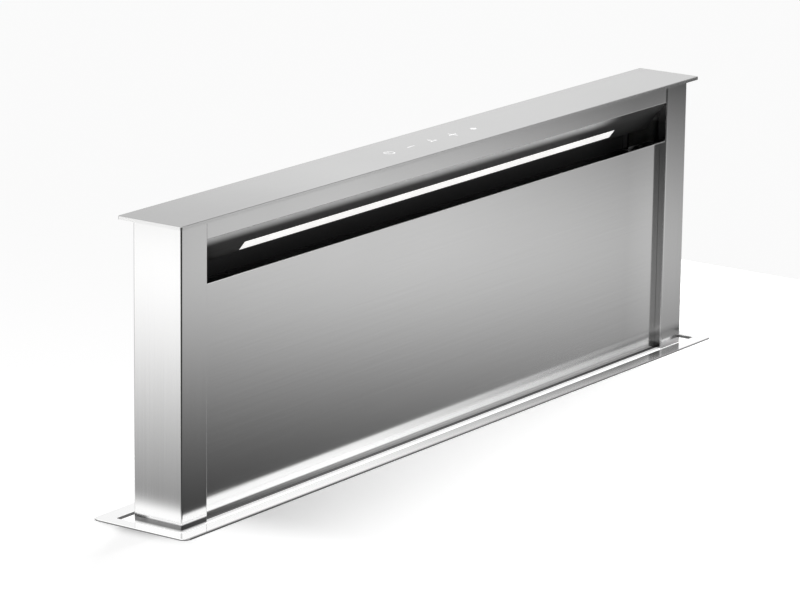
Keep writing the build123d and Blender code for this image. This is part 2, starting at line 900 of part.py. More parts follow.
def make_gearbox():
    x1 = gearbox_x + gearbox_length
    box = block(gearbox_x, x1, motor_y - motor_radius, shaft_y + shaft_radius + gearbox_wall,
                beam_top, beam_top + gearbox_height)
    box = chamfer(box.edges().filter_by(Axis.X), gearbox_wall / 2)
    return box - rod_x(gearbox_x, x1, shaft_y, shaft_z, shaft_radius + shaft_fit)


def make_lift_motor():
    x0 = gearbox_x + gearbox_length
    x1 = x0 + motor_length
    can = rod_x(x0, x1, motor_y, shaft_z, motor_radius)
    return can + rod_x(x1, x1 + motor_nose, motor_y, shaft_z, motor_radius / 3)


def make_switch(level, lever_side):
    """Switch on the casing's end wall; its lever points at the tower, above or below it."""
    x0 = -casing_half + casing_sheet
    half = switch_height / 2
    body = block(x0, x0 + switch_thickness, -switch_width / 2, switch_width / 2, level - half,
                 level + half)
    low, high = sorted((level + lever_side * half, level + lever_side * (half + switch_lever)))
    lever = block(x0, x0 + switch_thickness / 2, -switch_lever / 2, switch_width / 2, low, high)
    return body + lever


save_pair("guide_post", make_post())
save_pair("post_clamp", make_post_clamp())
save("drive_beam", make_beam())
save("shaft_bearings", make_bearing(), mirrored(make_bearing()))
save("lift_gearbox", make_gearbox())
save("lift_motor", make_lift_motor())
save("limit_switches", make_switch(tower_bottom + switch_height, -1),
     make_switch(tower_bottom - lift_stroke - switch_height, 1))


# ---------------------------------------------------------------- blower
def scroll_outline(inset):
    """Scroll outline in (x, z): three quarter arcs that grow by one step each, then the outlet."""
    step = scroll_growth
    r1 = scroll_radius - inset
    r2 = r1 + step
    r3 = r2 + step
    c1 = (blower_x - step / 2, blower_z - step / 2)
    c2 = (c1[0], c1[1] + step)
    c3 = (c2[0] + step, c2[1])
    tongue = tongue_radius + inset
    right = (c1[0] + r1, c1[1])
    bottom = (c1[0], c1[1] - r1)
    left = (c2[0] - r2, c2[1])
    top = (c3[0], c3[1] + r3)
    tongue_low = (right[0], outlet_low + inset - tongue)
    tongue_high = (right[0] + tongue, outlet_low + inset)

    def arc(centre, radius, start, end, angle):
        mid = (centre[0] + radius * math.cos(math.radians(angle)),
               centre[1] + radius * math.sin(math.radians(angle)))
        return ThreePointArc(spot(start), spot(mid), spot(end))

    def spot(point):
        return (point[0], 0, point[1])

    tongue_centre = (tongue_high[0], tongue_low[1])
    edges = [
        arc(c1, r1, right, bottom, -45), arc(c2, r2, bottom, left, -135),
        arc(c3, r3, left, top, 135), Line(spot(top), (outlet_x, 0, top[1])),
        Line((outlet_x, 0, top[1]), (outlet_x, 0, tongue_high[1])),
        Line((outlet_x, 0, tongue_high[1]), spot(tongue_high)),
        arc(tongue_centre, tongue, tongue_high, tongue_low, 135), Line(spot(tongue_low), spot(right)),
    ]
    return make_face(Wire(edges))


def scroll_prism(inset, y0, y1):
    return Pos(0, y0, 0) * extrude(scroll_outline(inset), y1 - y0, dir=(0, 1, 0))


def make_scroll():
    """Spiral wrap with its back wall, which takes the inlet ring."""
    wrap = scroll_prism(0, scroll_front + blower_sheet, scroll_back)
    wrap -= scroll_prism(blower_sheet, scroll_front + blower_sheet, scroll_back - blower_sheet)
    wrap -= block(outlet_x - blower_sheet, outlet_x, scroll_front + blower_sheet,
                  scroll_back - blower_sheet, outlet_low + blower_sheet, scroll_top - blower_sheet)
    return wrap - rod_y(scroll_back - blower_sheet, scroll_back, blower_x, blower_z,
                        inlet_radius + 2 * casing_sheet)


def make_blower_cover():
    """Front sheet of the scroll; its eight-sided window lies behind the motor's plate."""
    cover = scroll_prism(0, scroll_front, scroll_front + blower_sheet)
    corner_reach = (fan_motor_radius + seam) / math.cos(math.pi / 8)
    window = extrude(RegularPolygon(corner_reach, 8), blower_sheet)
    return cover - Plane(origin=(blower_x, scroll_front, blower_z), z_dir=(0, 1, 0)) * window


def make_inlet_ring():
    """Bellmouth: a flared ring that leads the air from the casing into the impeller's eye."""
    throat = inlet_radius
    outer = throat + 2 * casing_sheet - seam / 3
    y_in = casing_front_y + casing_sheet
    y_out = scroll_back - blower_sheet - inlet_flare
    profile = Polyline(
        [(throat, y_out), (outer, y_out), (outer, y_in), (outer + inlet_lip, y_in),
         (outer + inlet_lip, y_in + blower_sheet), (outer, y_in + blower_sheet),
         (throat, y_in - inlet_flare)], close=True
    )
    ring = revolve(make_face(profile), Axis.Y)
    return Pos(blower_x, 0, blower_z) * ring


fan_plate = scroll_front + blower_sheet + fan_motor_length + impeller_gap
fan_eye = fan_plate + impeller_length


def make_impeller():
    """Forward-curved drum: back plate and hub, curved blades and an end ring."""
    plate = rod_y(fan_plate, fan_plate + 2, 0, 0, impeller_radius)
    hub = rod_y(fan_plate, fan_plate + fan_hub_length, 0, 0, fan_hub_radius)
    ring = rod_y(fan_eye - 3, fan_eye, 0, 0, impeller_radius)
    ring -= rod_y(fan_eye - 3, fan_eye, 0, 0, impeller_eye_radius)
    inner = impeller_eye_radius + 1
    outer = impeller_radius - 1
    drum = plate + hub + ring
    lean = math.radians(blade_angle)
    middle = (inner + outer) / 2
    chord = outer - inner
    points = [
        (inner, 0), (middle, chord * math.tan(lean) / 5), (outer, chord * math.tan(lean)),
        (outer, chord * math.tan(lean) + blade_thickness * 1.6),
        (middle, chord * math.tan(lean) / 5 + blade_thickness), (inner, blade_thickness),
    ]
    blade_face = make_face(Polyline([(x, 0, z) for x, z in points], close=True))
    blade = Pos(0, fan_plate + 1, 0) * extrude(blade_face, impeller_length - 2.5, dir=(0, 1, 0))
    drum += [Rot(0, index * 360 / blade_count, 0) * blade for index in range(blade_count)]
    drum -= rod_y(fan_plate, fan_plate + fan_hub_length, 0, 0, fan_shaft_radius)
    return Pos(blower_x, 0, blower_z) * drum


def make_fan_motor():
    y1 = scroll_front + blower_sheet + fan_motor_length
    body = rod_y(scroll_front - fan_motor_stand_out, y1, blower_x, blower_z, fan_motor_radius)
    half = fan_plate_width / 2
    plate = block(blower_x - half, blower_x + half, scroll_front - fan_plate_sheet, scroll_front,
                  blower_z - half, blower_z + half)
    plate = chamfer(plate.edges().filter_by(Axis.Y), half / 4)
    bore = rod_y(y1 - fan_shaft_seat - seam, y1, blower_x, blower_z, fan_shaft_radius + shaft_fit)
    return body + plate - bore


def make_fan_shaft():
    y1 = scroll_front + blower_sheet + fan_motor_length
    return rod_y(y1 - fan_shaft_seat, fan_plate + fan_hub_length + 2 * seam, blower_x, blower_z,
                 fan_shaft_radius)


def make_collar():
    """Square plate with the round collar for the duct; two square sockets hold the flaps' pin."""
    plate = block(outlet_x, outlet_x + collar_plate, scroll_front, scroll_back, outlet_low,
                  scroll_top)
    end = outlet_x + collar_plate + collar_length
    tube = rod_x(outlet_x, end, collar_y, collar_z, collar_radius)
    collar = plate + tube
    collar -= rod_x(outlet_x, end, collar_y, collar_z, collar_radius - collar_wall)
    return collar - square_block(pin_x, collar_y, collar_z - collar_radius - collar_wall,
                                 collar_z + collar_radius + collar_wall, flap_pin_radius)


def make_flap(side):
    """Half-round damper flap. It hangs on the upright pin by two knuckles; side is -1 or 1 in Y."""
    radius = collar_radius - collar_wall - flap_clearance
    disc = rod_x(pin_x, pin_x + flap_thickness, collar_y, collar_z, radius)
    gap = flap_knuckle_radius + 0.5
    y0, y1 = sorted((collar_y + side * gap, collar_y + side * radius))
    flap = disc & block(pin_x, pin_x + flap_thickness, y0, y1, collar_z - radius, collar_z + radius)
    start = 0 if side > 0 else 1
    reach = radius * 0.8
    step = 2 * reach / 4
    for index in range(start, 4, 2):
        low = collar_z - reach + index * step + 0.5
        high = low + step - 1.0
        knuckle = Pos(pin_x, collar_y, low) * extrude(
            RegularPolygon(flap_knuckle_radius, 8), high - low)
        arm_y = sorted((collar_y, collar_y + side * (gap + 1)))
        knuckle += block(pin_x, pin_x + flap_thickness, arm_y[0], arm_y[1], low, high)
        knuckle -= rod_z(low, high, pin_x, collar_y, flap_pin_radius + shaft_fit)
        flap += knuckle
    return flap


save("blower_scroll", make_scroll())
save("blower_cover", make_blower_cover())
save("inlet_ring", make_inlet_ring())
save("impeller", make_impeller())
save("fan_shaft", make_fan_shaft())
save("fan_motor", make_fan_motor())
save("outlet_collar", make_collar())
save("damper_pin", rod_z(collar_z - collar_radius, collar_z + collar_radius, pin_x, collar_y,
                         flap_pin_radius))
save("damper_flap_front", make_flap(-1))
save("damper_flap_rear", make_flap(1))

# ---------------------------------------------------------------- electrics
box_x0 = box_centre_x - box_width / 2
box_x1 = box_centre_x + box_width / 2
box_z0 = casing_bottom + box_rise - box_height / 2
box_z1 = box_z0 + box_height
box_y1 = casing_front_y
box_y0 = box_y1 - box_depth


def make_control_box():
    box = block(box_x0, box_x1, box_y0, box_y1, box_z0, box_z1)
    box = fillet(box.edges().filter_by(Axis.Y), box_corner)
    box -= block(box_x0 + box_wall, box_x1 - box_wall, box_y0, box_y1 - box_wall,
                 box_z0 + box_wall, box_z1 - box_wall)
    return box - rod_z(box_z0, box_z0 + box_wall, box_centre_x, (box_y0 + box_y1) / 2,
                       gland_radius)


def make_box_cover():
    cover = block(box_x0, box_x1, box_y0 - box_wall, box_y0, box_z0, box_z1)
    return fillet(cover.edges().filter_by(Axis.Y), box_corner)


def make_terminals():
    half_width = terminal_poles * terminal_pitch / 2
    floor = box_y1 - box_wall
    face = floor - terminal_depth
    low = box_z0 + terminal_lift
    row = block(box_centre_x - half_width, box_centre_x + half_width, face, floor, low,
                low + terminal_height)
    middle = low + terminal_height / 2
    for index in range(terminal_poles):
        x = box_centre_x - half_width + (index + 0.5) * terminal_pitch
        row -= block(x - terminal_slot / 2, x + terminal_slot / 2, face, face + terminal_slot,
                     middle - terminal_slot / 2, middle + terminal_slot / 2)
    return row


def make_gland():
    y = (box_y0 + box_y1) / 2
    low = box_z0 - gland_length
    high = box_z0 + 2 * box_wall
    gland = Pos(box_centre_x, y, low) * extrude(RegularPolygon(gland_nut, 6), gland_length)
    gland += rod_z(box_z0, high, box_centre_x, y, gland_radius)
    return gland - rod_z(low, high, box_centre_x, y, gland_bore)


save("control_box", make_control_box())
save("control_box_cover", make_box_cover())
save("terminal_block", make_terminals())
save("cable_gland", make_gland())


# ---------------------------------------------------------------- fixing to the kitchen
def make_worktop_bracket(side, y):
    """Angle on the casing's end, under the worktop; its screw presses up against the board."""
    level = -worktop_thickness - bracket_gap
    x0, x1 = sorted((side * casing_half, side * (casing_half + bracket_sheet)))
    bracket = block(x0, x1, y - bracket_width / 2, y + bracket_width / 2, level - bracket_leg, level)
    x0, x1 = sorted((side * casing_half, side * (casing_half + bracket_leg)))
    bracket += block(x0, x1, y - bracket_width / 2, y + bracket_width / 2, level - bracket_sheet,
                     level)
    hole_x = side * (casing_half + bracket_leg / 2)
    return bracket - rod_z(level - bracket_sheet, level, hole_x, y, clamp_screw_radius)


def make_clamp_screw(side, y):
    level = -worktop_thickness - bracket_gap
    x = side * (casing_half + bracket_leg / 2)
    tail = level - bracket_sheet - clamp_screw_tail
    pad_low = -worktop_thickness - clamp_pad_height
    screw = rod_z(tail, pad_low, x, y, clamp_screw_radius)
    screw += square_block(x, y, pad_low, -worktop_thickness, clamp_pad_half)
    nut = extrude(RegularPolygon(clamp_nut_radius, 6), clamp_nut_height)
    return screw + Pos(x, y, tail - clamp_nut_height) * nut


def make_foot(side):
    """Angle under the casing's end that screws to the cabinet's floor."""
    x0, x1 = sorted((side * casing_half, side * (casing_half + bracket_sheet)))
    foot = block(x0, x1, -foot_length / 2, foot_length / 2, casing_bottom, casing_bottom + foot_leg)
    x0, x1 = sorted((side * casing_half, side * (casing_half + foot_leg)))
    foot += block(x0, x1, -foot_length / 2, foot_length / 2, casing_bottom,
                  casing_bottom + bracket_sheet)
    for y in (-foot_hole_pitch / 2, foot_hole_pitch / 2):
        foot -= rod_z(casing_bottom, casing_bottom + bracket_sheet,
                      side * (casing_half + foot_leg / 2 + bracket_sheet / 2), y, foot_hole_radius)
    return foot


save("worktop_brackets", make_worktop_bracket(-1, 0), make_worktop_bracket(1, 0))
save("clamp_screws", make_clamp_screw(-1, 0), make_clamp_screw(1, 0))
save("floor_brackets", make_foot(-1), make_foot(1))

print("lift stroke", round(lift_stroke, 2))
print("pinion turns per metre", round(1000 / pinion_radius, 4), "rad")
print("duct collar centre", round(collar_y, 2), round(collar_z, 2), "end", outlet_x + collar_plate
      + collar_length)
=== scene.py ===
# %% [markdown]
# # A retractable downdraft vent
# The object is a kitchen extractor that rises out of the worktop behind a cooktop. The solids come
# from CAD and never change here. This lesson gives each of them the surface that the real one has,
# adds the small fittings that a maker would find on the bench, and lights the whole thing as a
# studio would light bright metal.

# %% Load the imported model
import math

import bpy
from mathutils import Matrix, Vector


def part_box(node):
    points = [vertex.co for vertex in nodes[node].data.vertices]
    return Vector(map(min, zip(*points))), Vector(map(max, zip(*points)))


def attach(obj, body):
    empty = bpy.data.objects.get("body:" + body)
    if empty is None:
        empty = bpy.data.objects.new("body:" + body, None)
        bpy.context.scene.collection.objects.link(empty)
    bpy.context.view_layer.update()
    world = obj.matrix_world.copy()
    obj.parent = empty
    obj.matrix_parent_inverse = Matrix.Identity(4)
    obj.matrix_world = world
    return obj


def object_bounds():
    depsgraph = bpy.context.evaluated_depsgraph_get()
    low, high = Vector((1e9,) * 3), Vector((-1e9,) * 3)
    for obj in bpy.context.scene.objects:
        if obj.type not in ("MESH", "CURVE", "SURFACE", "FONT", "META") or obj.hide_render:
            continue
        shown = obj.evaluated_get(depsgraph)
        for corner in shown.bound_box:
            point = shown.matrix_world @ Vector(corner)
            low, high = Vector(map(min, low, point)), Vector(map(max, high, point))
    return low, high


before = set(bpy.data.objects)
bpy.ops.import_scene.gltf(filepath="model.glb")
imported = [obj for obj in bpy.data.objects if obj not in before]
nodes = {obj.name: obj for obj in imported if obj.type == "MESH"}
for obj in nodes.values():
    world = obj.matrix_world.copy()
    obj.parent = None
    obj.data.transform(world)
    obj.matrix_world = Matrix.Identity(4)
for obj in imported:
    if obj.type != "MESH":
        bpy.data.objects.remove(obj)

cad_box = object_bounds()
bpy.ops.object.select_all(action="DESELECT")
print("CAD nodes:", len(nodes), "box:", [[round(v, 3) for v in corner] for corner in cad_box])

# %% [markdown]
# ## The camera
# The picture was taken from the front left with a long lens, a little above the lid. A long lens
# keeps the tower's edges nearly parallel. The place and the turn are written as a photographer
# would say them: where the tripod stands, which way it looks, how far it tips and how it leans.

# %% Place the camera
camera_place = Vector((-3.3128, -2.3140, 1.1613))
look_azimuth = math.radians(54.67)      # 0 looks along +Y, and it grows towards +X
look_down = math.radians(14.37)
camera_lean = math.radians(0.72)
lens_length = 188.57                    # millimetres, as is the sensor
sensor_width = 36
far_end = 60                            # metres; the camera sees nothing past it

forward = Vector((math.sin(look_azimuth) * math.cos(look_down),
                  math.cos(look_azimuth) * math.cos(look_down), -math.sin(look_down)))
level_right = Vector((math.cos(look_azimuth), -math.sin(look_azimuth), 0))
level_up = level_right.cross(forward)
camera_right = level_right * math.cos(camera_lean) + level_up * math.sin(camera_lean)
camera_up = level_up * math.cos(camera_lean) - level_right * math.sin(camera_lean)

camera = bpy.data.objects.new("camera", bpy.data.cameras.new("camera"))
bpy.context.collection.objects.link(camera)
camera.data.sensor_width = sensor_width
camera.data.lens = lens_length
camera.data.clip_end = far_end
turn = Matrix((camera_right, camera_up, -forward)).transposed().to_4x4()
camera.matrix_world = Matrix.Translation(camera_place) @ turn
bpy.context.scene.camera = camera
bpy.context.scene.view_settings.view_transform = "Standard"
print("camera looks along", [round(v, 3) for v in forward])

# %% [markdown]
# ## Helpers that read a place or a pattern
# Every finish here is a Principled shader with a few textures in front of it. One could wire them
# by hand in the shader editor, but two dozen finishes share the same steps, so each step is a
# function. All read Object coordinates, so a pattern stays on its piece when the piece moves.

# %% Start a finish, read a place, add a noise
def add(tree, kind, *values, **settings):
    """Adds a node, makes its settings, and links the values to its first sockets in turn."""
    node = tree.nodes.new("ShaderNode" + kind)
    for setting, choice in settings.items():
        setattr(node, setting, choice)
    for value, socket in zip(values, node.inputs):
        tree.links.new(value, socket)
    return node


def new_finish(name, **sockets):
    """A material with a Principled shader whose plain sockets are set by name."""
    material = bpy.data.materials.new(name)
    material.use_nodes = True
    shader = material.node_tree.nodes["Principled BSDF"]
    for socket, value in sockets.items():
        shader.inputs[socket.replace("_", " ")].default_value = value
    return material, material.node_tree, shader


def own_place(tree, stretch=(1, 1, 1), shift=(0, 0, 0)):
    """The piece's own coordinates in metres, stretched to cycles per metre."""
    mapping = add(tree, "Mapping", add(tree, "TexCoord").outputs["Object"])
    mapping.inputs["Scale"].default_value = stretch
    mapping.inputs["Location"].default_value = shift
    return mapping.outputs["Vector"]


def along(tree, axis):
    """The piece's own X, Y or Z in metres."""
    return add(tree, "SeparateXYZ", own_place(tree)).outputs[axis]


def noise(tree, stretch, detail=3.0, roughness=0.55):
    """A cloudy pattern; stretch says how many clouds a metre holds along each axis."""
    texture = add(tree, "TexNoise", own_place(tree, stretch))
    texture.inputs["Scale"].default_value = 1.0
    texture.inputs["Detail"].default_value = detail
    texture.inputs["Roughness"].default_value = roughness
    return texture.outputs["Fac"]


def wired(tree, shader, **values):
    """Links values to the shader's sockets, which are named as in new_finish."""
    for socket, value in values.items():
        tree.links.new(value, shader.inputs[socket.replace("_", " ")])


print("patterns are read in metres")

# %% [markdown]
# ## Helpers that reckon with values
# A texture gives one number at each point. Map Range fits it to what a socket needs, Math nodes
# add or multiply several, and Mix goes from one to another. A mask is such a number too: it is 1
# on one zone of a piece and 0 elsewhere, and keeps a tone where it belongs.

# %% Ranges, sums, products and masks
def to_range(tree, value, low, high, from_low=0.3, from_high=0.7, way="LINEAR"):
    """Maps a value to a new range; noise mostly lies between 0.3 and 0.7."""
    node = add(tree, "MapRange", value, interpolation_type=way)
    ends = {"From Min": from_low, "From Max": from_high, "To Min": low, "To Max": high}
    for socket, end in ends.items():
        node.inputs[socket].default_value = end
    return node.outputs["Result"]


def constant(tree, value):
    node = add(tree, "Value")
    node.outputs["Value"].default_value = value
    return node.outputs["Value"]


def reckoned(tree, operation, values):
    """Adds or multiplies several values, one Math node after the other."""
    total = values[0]
    for value in values[1:]:
        total = add(tree, "Math", total, value, operation=operation).outputs["Value"]
    return total


def sum_of(tree, *values):
    return reckoned(tree, "ADD", values)


def product_of(tree, *values):
    return reckoned(tree, "MULTIPLY", values)


def blend_values(tree, factor, first, second):
    """The first value, or the second where the factor is 1."""
    node = add(tree, "Mix", factor)
    tree.links.new(first, node.inputs["A"])
    tree.links.new(second, node.inputs["B"])
    return node.outputs["Result"]


def either(tree, first, second):
    """1 where one of two masks is 1."""
    return to_range(tree, sum_of(tree, first, second), 0.0, 1.0, 0.0, 1.0)


def toned(tree, mask, tone):
    """1 outside the mask and the tone inside it."""
    return to_range(tree, mask, 1.0, tone, 0.0, 1.0)


print("masks run from 0 to 1")

# %% [markdown]
# ## Helpers for colour and relief
# Metal and plastic are hardly ever one flat colour. Two close tones with a noise between them are
# enough, and a zone in shade has its colour multiplied down. Relief too fine to model is a Bump
# node, with its depth in metres.

# %% Tones and bumps
white = (1, 1, 1, 1)
warm_white = (1.0, 0.99, 0.97, 1)


def grey(level, warmth=0.0):
    return (level * (1 + warmth), level, level * (1 - warmth))


def colour_between(tree, factor, first, second):
    node = add(tree, "Mix", factor, data_type="RGBA")
    node.inputs["A"].default_value = (*first, 1)
    node.inputs["B"].default_value = (*second, 1)
    return node.outputs["Result"]


def darkened(tree, colour, factor):
    """The colour times a factor, which mostly lies between 0 and 1."""
    node = add(tree, "Mix", data_type="RGBA", blend_type="MULTIPLY")
    node.inputs["Factor"].default_value = 1.0
    tree.links.new(colour, node.inputs["A"])
    tree.links.new(factor, node.inputs["B"])
    return node.outputs["Result"]


def bumped(tree, shader, height, depth):
    """Raises the surface by a height texture; depth is in metres."""
    node = add(tree, "Bump")
    node.inputs["Strength"].default_value = 1.0
    node.inputs["Distance"].default_value = depth
    tree.links.new(height, node.inputs["Height"])
    tree.links.new(node.outputs["Normal"], shader.inputs["Normal"])


print("a mid grey, slightly warm:", grey(0.5, 0.01))

# %% [markdown]
# ## Tones that follow a place
# Sheet near a gap looks dark for reasons that a simple room doesn't hold: a hidden fold, light that
# is lost between two walls. That shade, and some reflections, are painted into the colour here. One
# could paint a map, but these zones are straight, so ramps and steps along the piece's own axes
# draw them, with edges from the CAD boxes.

# %% Ramps and steps along an axis
frame_low, frame_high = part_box("trim_frame")
column_low, column_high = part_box("column_right")
panel_low, panel_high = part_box("front_panel")
header_low, header_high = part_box("header_fascia")
half_length = column_high.x
strip_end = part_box("led_diffuser")[1].x


def ramp(tree, axis, start, stop, way="LINEAR"):
    """A value that runs along the piece's own axis; start and stop are (place, value)."""
    return to_range(tree, along(tree, axis), start[1], stop[1], start[0], stop[0], way)


def soft_step(tree, axis, edge, half_width):
    """0 before the edge and 1 after it."""
    return ramp(tree, axis, (edge - half_width, 0.0), (edge + half_width, 1.0), "SMOOTHSTEP")


def between(tree, axis, low, high, half_width):
    """1 between two places on the axis and 0 outside them."""
    before_high = ramp(tree, axis, (high - half_width, 1.0), (high + half_width, 0.0))
    return product_of(tree, soft_step(tree, axis, low, half_width), before_high)


print("tower half length", round(half_length, 4), "and its front at", round(column_low.y, 4))

# %% [markdown]
# ## Brushed stainless steel
# The tower is satin stainless sheet: a belt has drawn fine parallel scratches along each panel, so
# reflections stay clear one way and smear the other way. Two noises do it. One is stretched far
# along the grain and gives the scratches. The other is wide and soft, and stands for the uneven
# pressure of the belt and for handling. The rear panel has no more than that.

# %% Brush the sheet
scratches_per_metre = 900.0
scratch_run = 5.0                   # the same pattern along the grain, per metre
scratch_depth = 4e-6


def brushed_steel(name, level, rough, grain="X", shade=None, metallic=1.0):
    """level is the plain reflectance, grain the way of the brushing, and shade makes a factor for
    the tone from place to place, which paints shade and reflections into the colour."""
    material, tree, shader = new_finish(name, Metallic=metallic)
    stretch = [scratch_run if axis == grain else scratches_per_metre for axis in "XYZ"]
    scratches = noise(tree, stretch, detail=4.0, roughness=0.7)
    pressure = noise(tree, (7.0, 7.0, 7.0), detail=2.0)
    tint = colour_between(tree, scratches, grey(level * 0.93, 0.004), grey(min(1, level * 1.06)))
    if shade:
        tint = darkened(tree, tint, shade(tree))
    roughness = sum_of(tree, to_range(tree, scratches, rough - 0.03, rough + 0.03),
                       to_range(tree, pressure, -0.02, 0.02))
    wired(tree, shader, Base_Color=tint, Roughness=roughness)
    bumped(tree, shader, scratches, scratch_depth)
    return material


steel_back = brushed_steel("steel_back", 0.66, 0.24)
print("brushed:", steel_back.name)

# %% [markdown]
# ## The lid
# The lid is the same sheet, brushed along its length. Its upper face is painted darker towards the
# left end and a little towards the right, a painted reflection, and its thin front edge is painted
# lighter to the tone of the header, also a painted reflection. A step in height tells face from
# edge.

# %% Brush the lid
lid_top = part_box("lid")[1].z
edge_tone = 1.55


def lid_shade(tree):
    # painted reflection: darker towards both ends of the upper face, lighter on the front edge
    left = ramp(tree, "X", (-half_length, 0.76), (-0.16, 1.0), "SMOOTHSTEP")
    right = ramp(tree, "X", (0.05, 1.0), (half_length, 0.92), "SMOOTHSTEP")
    on_top = soft_step(tree, "Z", lid_top - 0.0003, 0.0002)
    return blend_values(tree, on_top, constant(tree, edge_tone), product_of(tree, left, right))


# painted shade: the lid's plain level is set lower than the front's, though it is the same sheet
steel_lid = brushed_steel("steel_lid", 0.52, 0.22, shade=lid_shade)
print("lid top at", round(lid_top, 4))

# %% [markdown]
# ## The foot of the tower
# A low band round the tower's foot is painted dark, a painted shade that is darker to the left.
# Above it the sheet mirrors the bright trim, and that band is painted dimmer towards the right, a
# painted reflection. Panel and columns share both tones, so they are made once.

# %% Paint shade on the foot
shaded_band_top = 0.0042                  # the band of painted shade lies between these two heights
shaded_band_low = -0.0014
blur = 0.0009                       # half of the soft edge of such a line
mirrored_low = 0.010                # the painted dimming of the mirrored trim fades out between these two heights
mirrored_high = 0.022


def painted_foot_shade(tree, tone):
    """Painted shade: the tone in a band round the tower's foot, and 1 everywhere else."""
    above = soft_step(tree, "Z", shaded_band_top, blur)
    below = ramp(tree, "Z", (shaded_band_low - blur, 1.0), (shaded_band_low + blur, 0.0))
    return blend_values(tree, either(tree, above, below), tone, constant(tree, 1.0))


def dim_to_the_right(tree, right_tone):
    """Painted reflection: the bright band that the foot mirrors is painted dimmer towards the right
    end.
    """
    near_foot = ramp(tree, "Z", (mirrored_low, 1.0), (mirrored_high, 0.0), "SMOOTHSTEP")
    fading = ramp(tree, "X", (-0.15, 1.0), (half_length, right_tone))
    return blend_values(tree, near_foot, constant(tree, 1.0), fading)


# the height of the painted shade band at the foot
print("dull band", round((shaded_band_top - shaded_band_low) * 1000, 1), "mm high")

# %% [markdown]
# ## The front panel and the header
# Both are brushed along their length. The panel's top is folded back, and past the lit strip that
# fold is painted dark, as shade. The header's end meets the column at a joint, a fine dark line.
# The sheet is painted a little lighter at its right end, a painted reflection.

# %% Brush the panel and the header
fold_low = panel_high.z - 0.0004    # the upper side of the fold lies between these two
fold_high = panel_high.z + 0.003
fold_front = panel_low.y + 0.003
header_foot = panel_high.z + 0.01   # between the panel's fold and the header above it
joint = header_high.x - 0.0018      # where the dark line at the header's end begins
lighter_end = 0.06                  # how far the light part reaches in from the right


def panel_shade(tree):
    # painted shade and reflection: the foot band, the dark fold past the strip and the lighter
    # right end
    tone = ramp(tree, "X", (-half_length, 0.04), (half_length, 0.90))
    foot = product_of(tree, painted_foot_shade(tree, tone), dim_to_the_right(tree, 0.30))
    fold = product_of(tree, between(tree, "Z", fold_low, fold_high, 0.0002),
                      soft_step(tree, "Y", fold_front, 0.001),
                      soft_step(tree, "X", strip_end, 0.01))
    at_joint = product_of(tree, soft_step(tree, "X", joint, 0.0004),
                          soft_step(tree, "Z", header_foot, 0.001))
    right_end = ramp(tree, "X", (panel_high.x - lighter_end, 1.0), (panel_high.x, 1.2))
    return product_of(tree, foot, toned(tree, fold, 0.30), toned(tree, at_joint, 0.45), right_end)


steel_front = brushed_steel("steel_front", 0.76, 0.13, shade=panel_shade)
print("panel top at", round(panel_high.z, 4), "header foot at", round(header_low.z, 4))

# %% [markdown]
# ## The columns
# The end columns are folded from the same sheet with the brushing upright, so their noise is
# stretched along Z. The painted shade at the foot is lighter on the end than in front, and the
# right column's inner side, which looks into the recess, is painted dimmer than the rest, as shade.

# %% Brush the columns
inner_tone = 0.66


def column_shade(tree):
    # painted shade: the foot band, and the right column's inner side in the recess
    front = ramp(tree, "X", (-half_length, 0.03), (half_length, 0.60))
    side = ramp(tree, "X", (-half_length, 0.24), (half_length, 0.40))
    behind_front = soft_step(tree, "Y", column_low.y + 0.0009, 0.0007)
    shaded_foot = painted_foot_shade(tree, blend_values(tree, behind_front, front, side))
    right_column = soft_step(tree, "X", 0.0, 0.001)
    outside = soft_step(tree, "X", column_low.x + 0.0007, 0.0003)
    inner_side = product_of(tree, behind_front, right_column, toned(tree, outside, 0.0))
    return product_of(tree, shaded_foot, dim_to_the_right(tree, 0.50),
                      toned(tree, inner_side, inner_tone))


steel_column = brushed_steel("steel_column", 0.76, 0.13, grain="Z", shade=column_shade)
print("column", round(column_high.x - column_low.x, 4), "m wide")

# %% [markdown]
# ## The light bar
# The bar that carries the lit strip is bent sheet. Its bend is painted light, as if it caught the
# room's light, and that light fades down its slope into the slot; past the end of the strip the bar
# is painted dark, as shade.
# It is hardly metallic here, because a mirror in a slot would show only the dark of the room.

# %% Brush the light bar
slope_low = header_low.z - 0.0114
slope_high = header_low.z - 0.0004
dark_tone = 0.03


def bar_shade(tree):
    # painted light on the bend, fading to painted shade down the slope and past the strip
    fade = ramp(tree, "Z", (slope_low, 0.015), (slope_high, 1.0), "SMOOTHSTEP")
    past_strip = soft_step(tree, "X", strip_end - 0.035, 0.03)
    return blend_values(tree, past_strip, fade, constant(tree, dark_tone))


steel_bar = brushed_steel("steel_bar", 0.70, 0.45, shade=bar_shade, metallic=0.1)
print("slope", round((slope_high - slope_low) * 1000, 1), "mm high")

# %% [markdown]
# ## The trim frame
# The frame is polished nearly to a mirror, with faint wiping marks. Its rebate, which the lid rubs,
# is satin. Light goes to and fro between it and the tower, and a little emission stands for those
# bounces. The far walls look at the dark of the gap instead, so they are painted dark as shade, and
# along the sheet's cut edge and front rim a painted shade draws a dark line round the flange.

# %% Find the zones of the frame
flange_low, flange_high = 0.0009, 0.0012    # the heights between which a wall becomes the flange
off_edge = 0.006
ledge_low, ledge_high = -0.0020, -0.0017
back_wall, right_wall = 0.02, 0.43          # past these in Y or X a wall of the rebate is far
rim_depth = 0.0022


def trim_zones(tree):
    """Two masks of the trim: its ledge and rebate walls, and the cut edge round its flange."""
    deep = ramp(tree, "Z", (flange_low, 1.0), (flange_high, 0.0))
    inside = product_of(
        tree, between(tree, "X", frame_low.x + off_edge, frame_high.x - off_edge, 0.001),
        between(tree, "Y", frame_low.y + off_edge, frame_high.y - off_edge, 0.001))
    return product_of(tree, deep, inside), product_of(tree, deep, toned(tree, inside, 0.0))


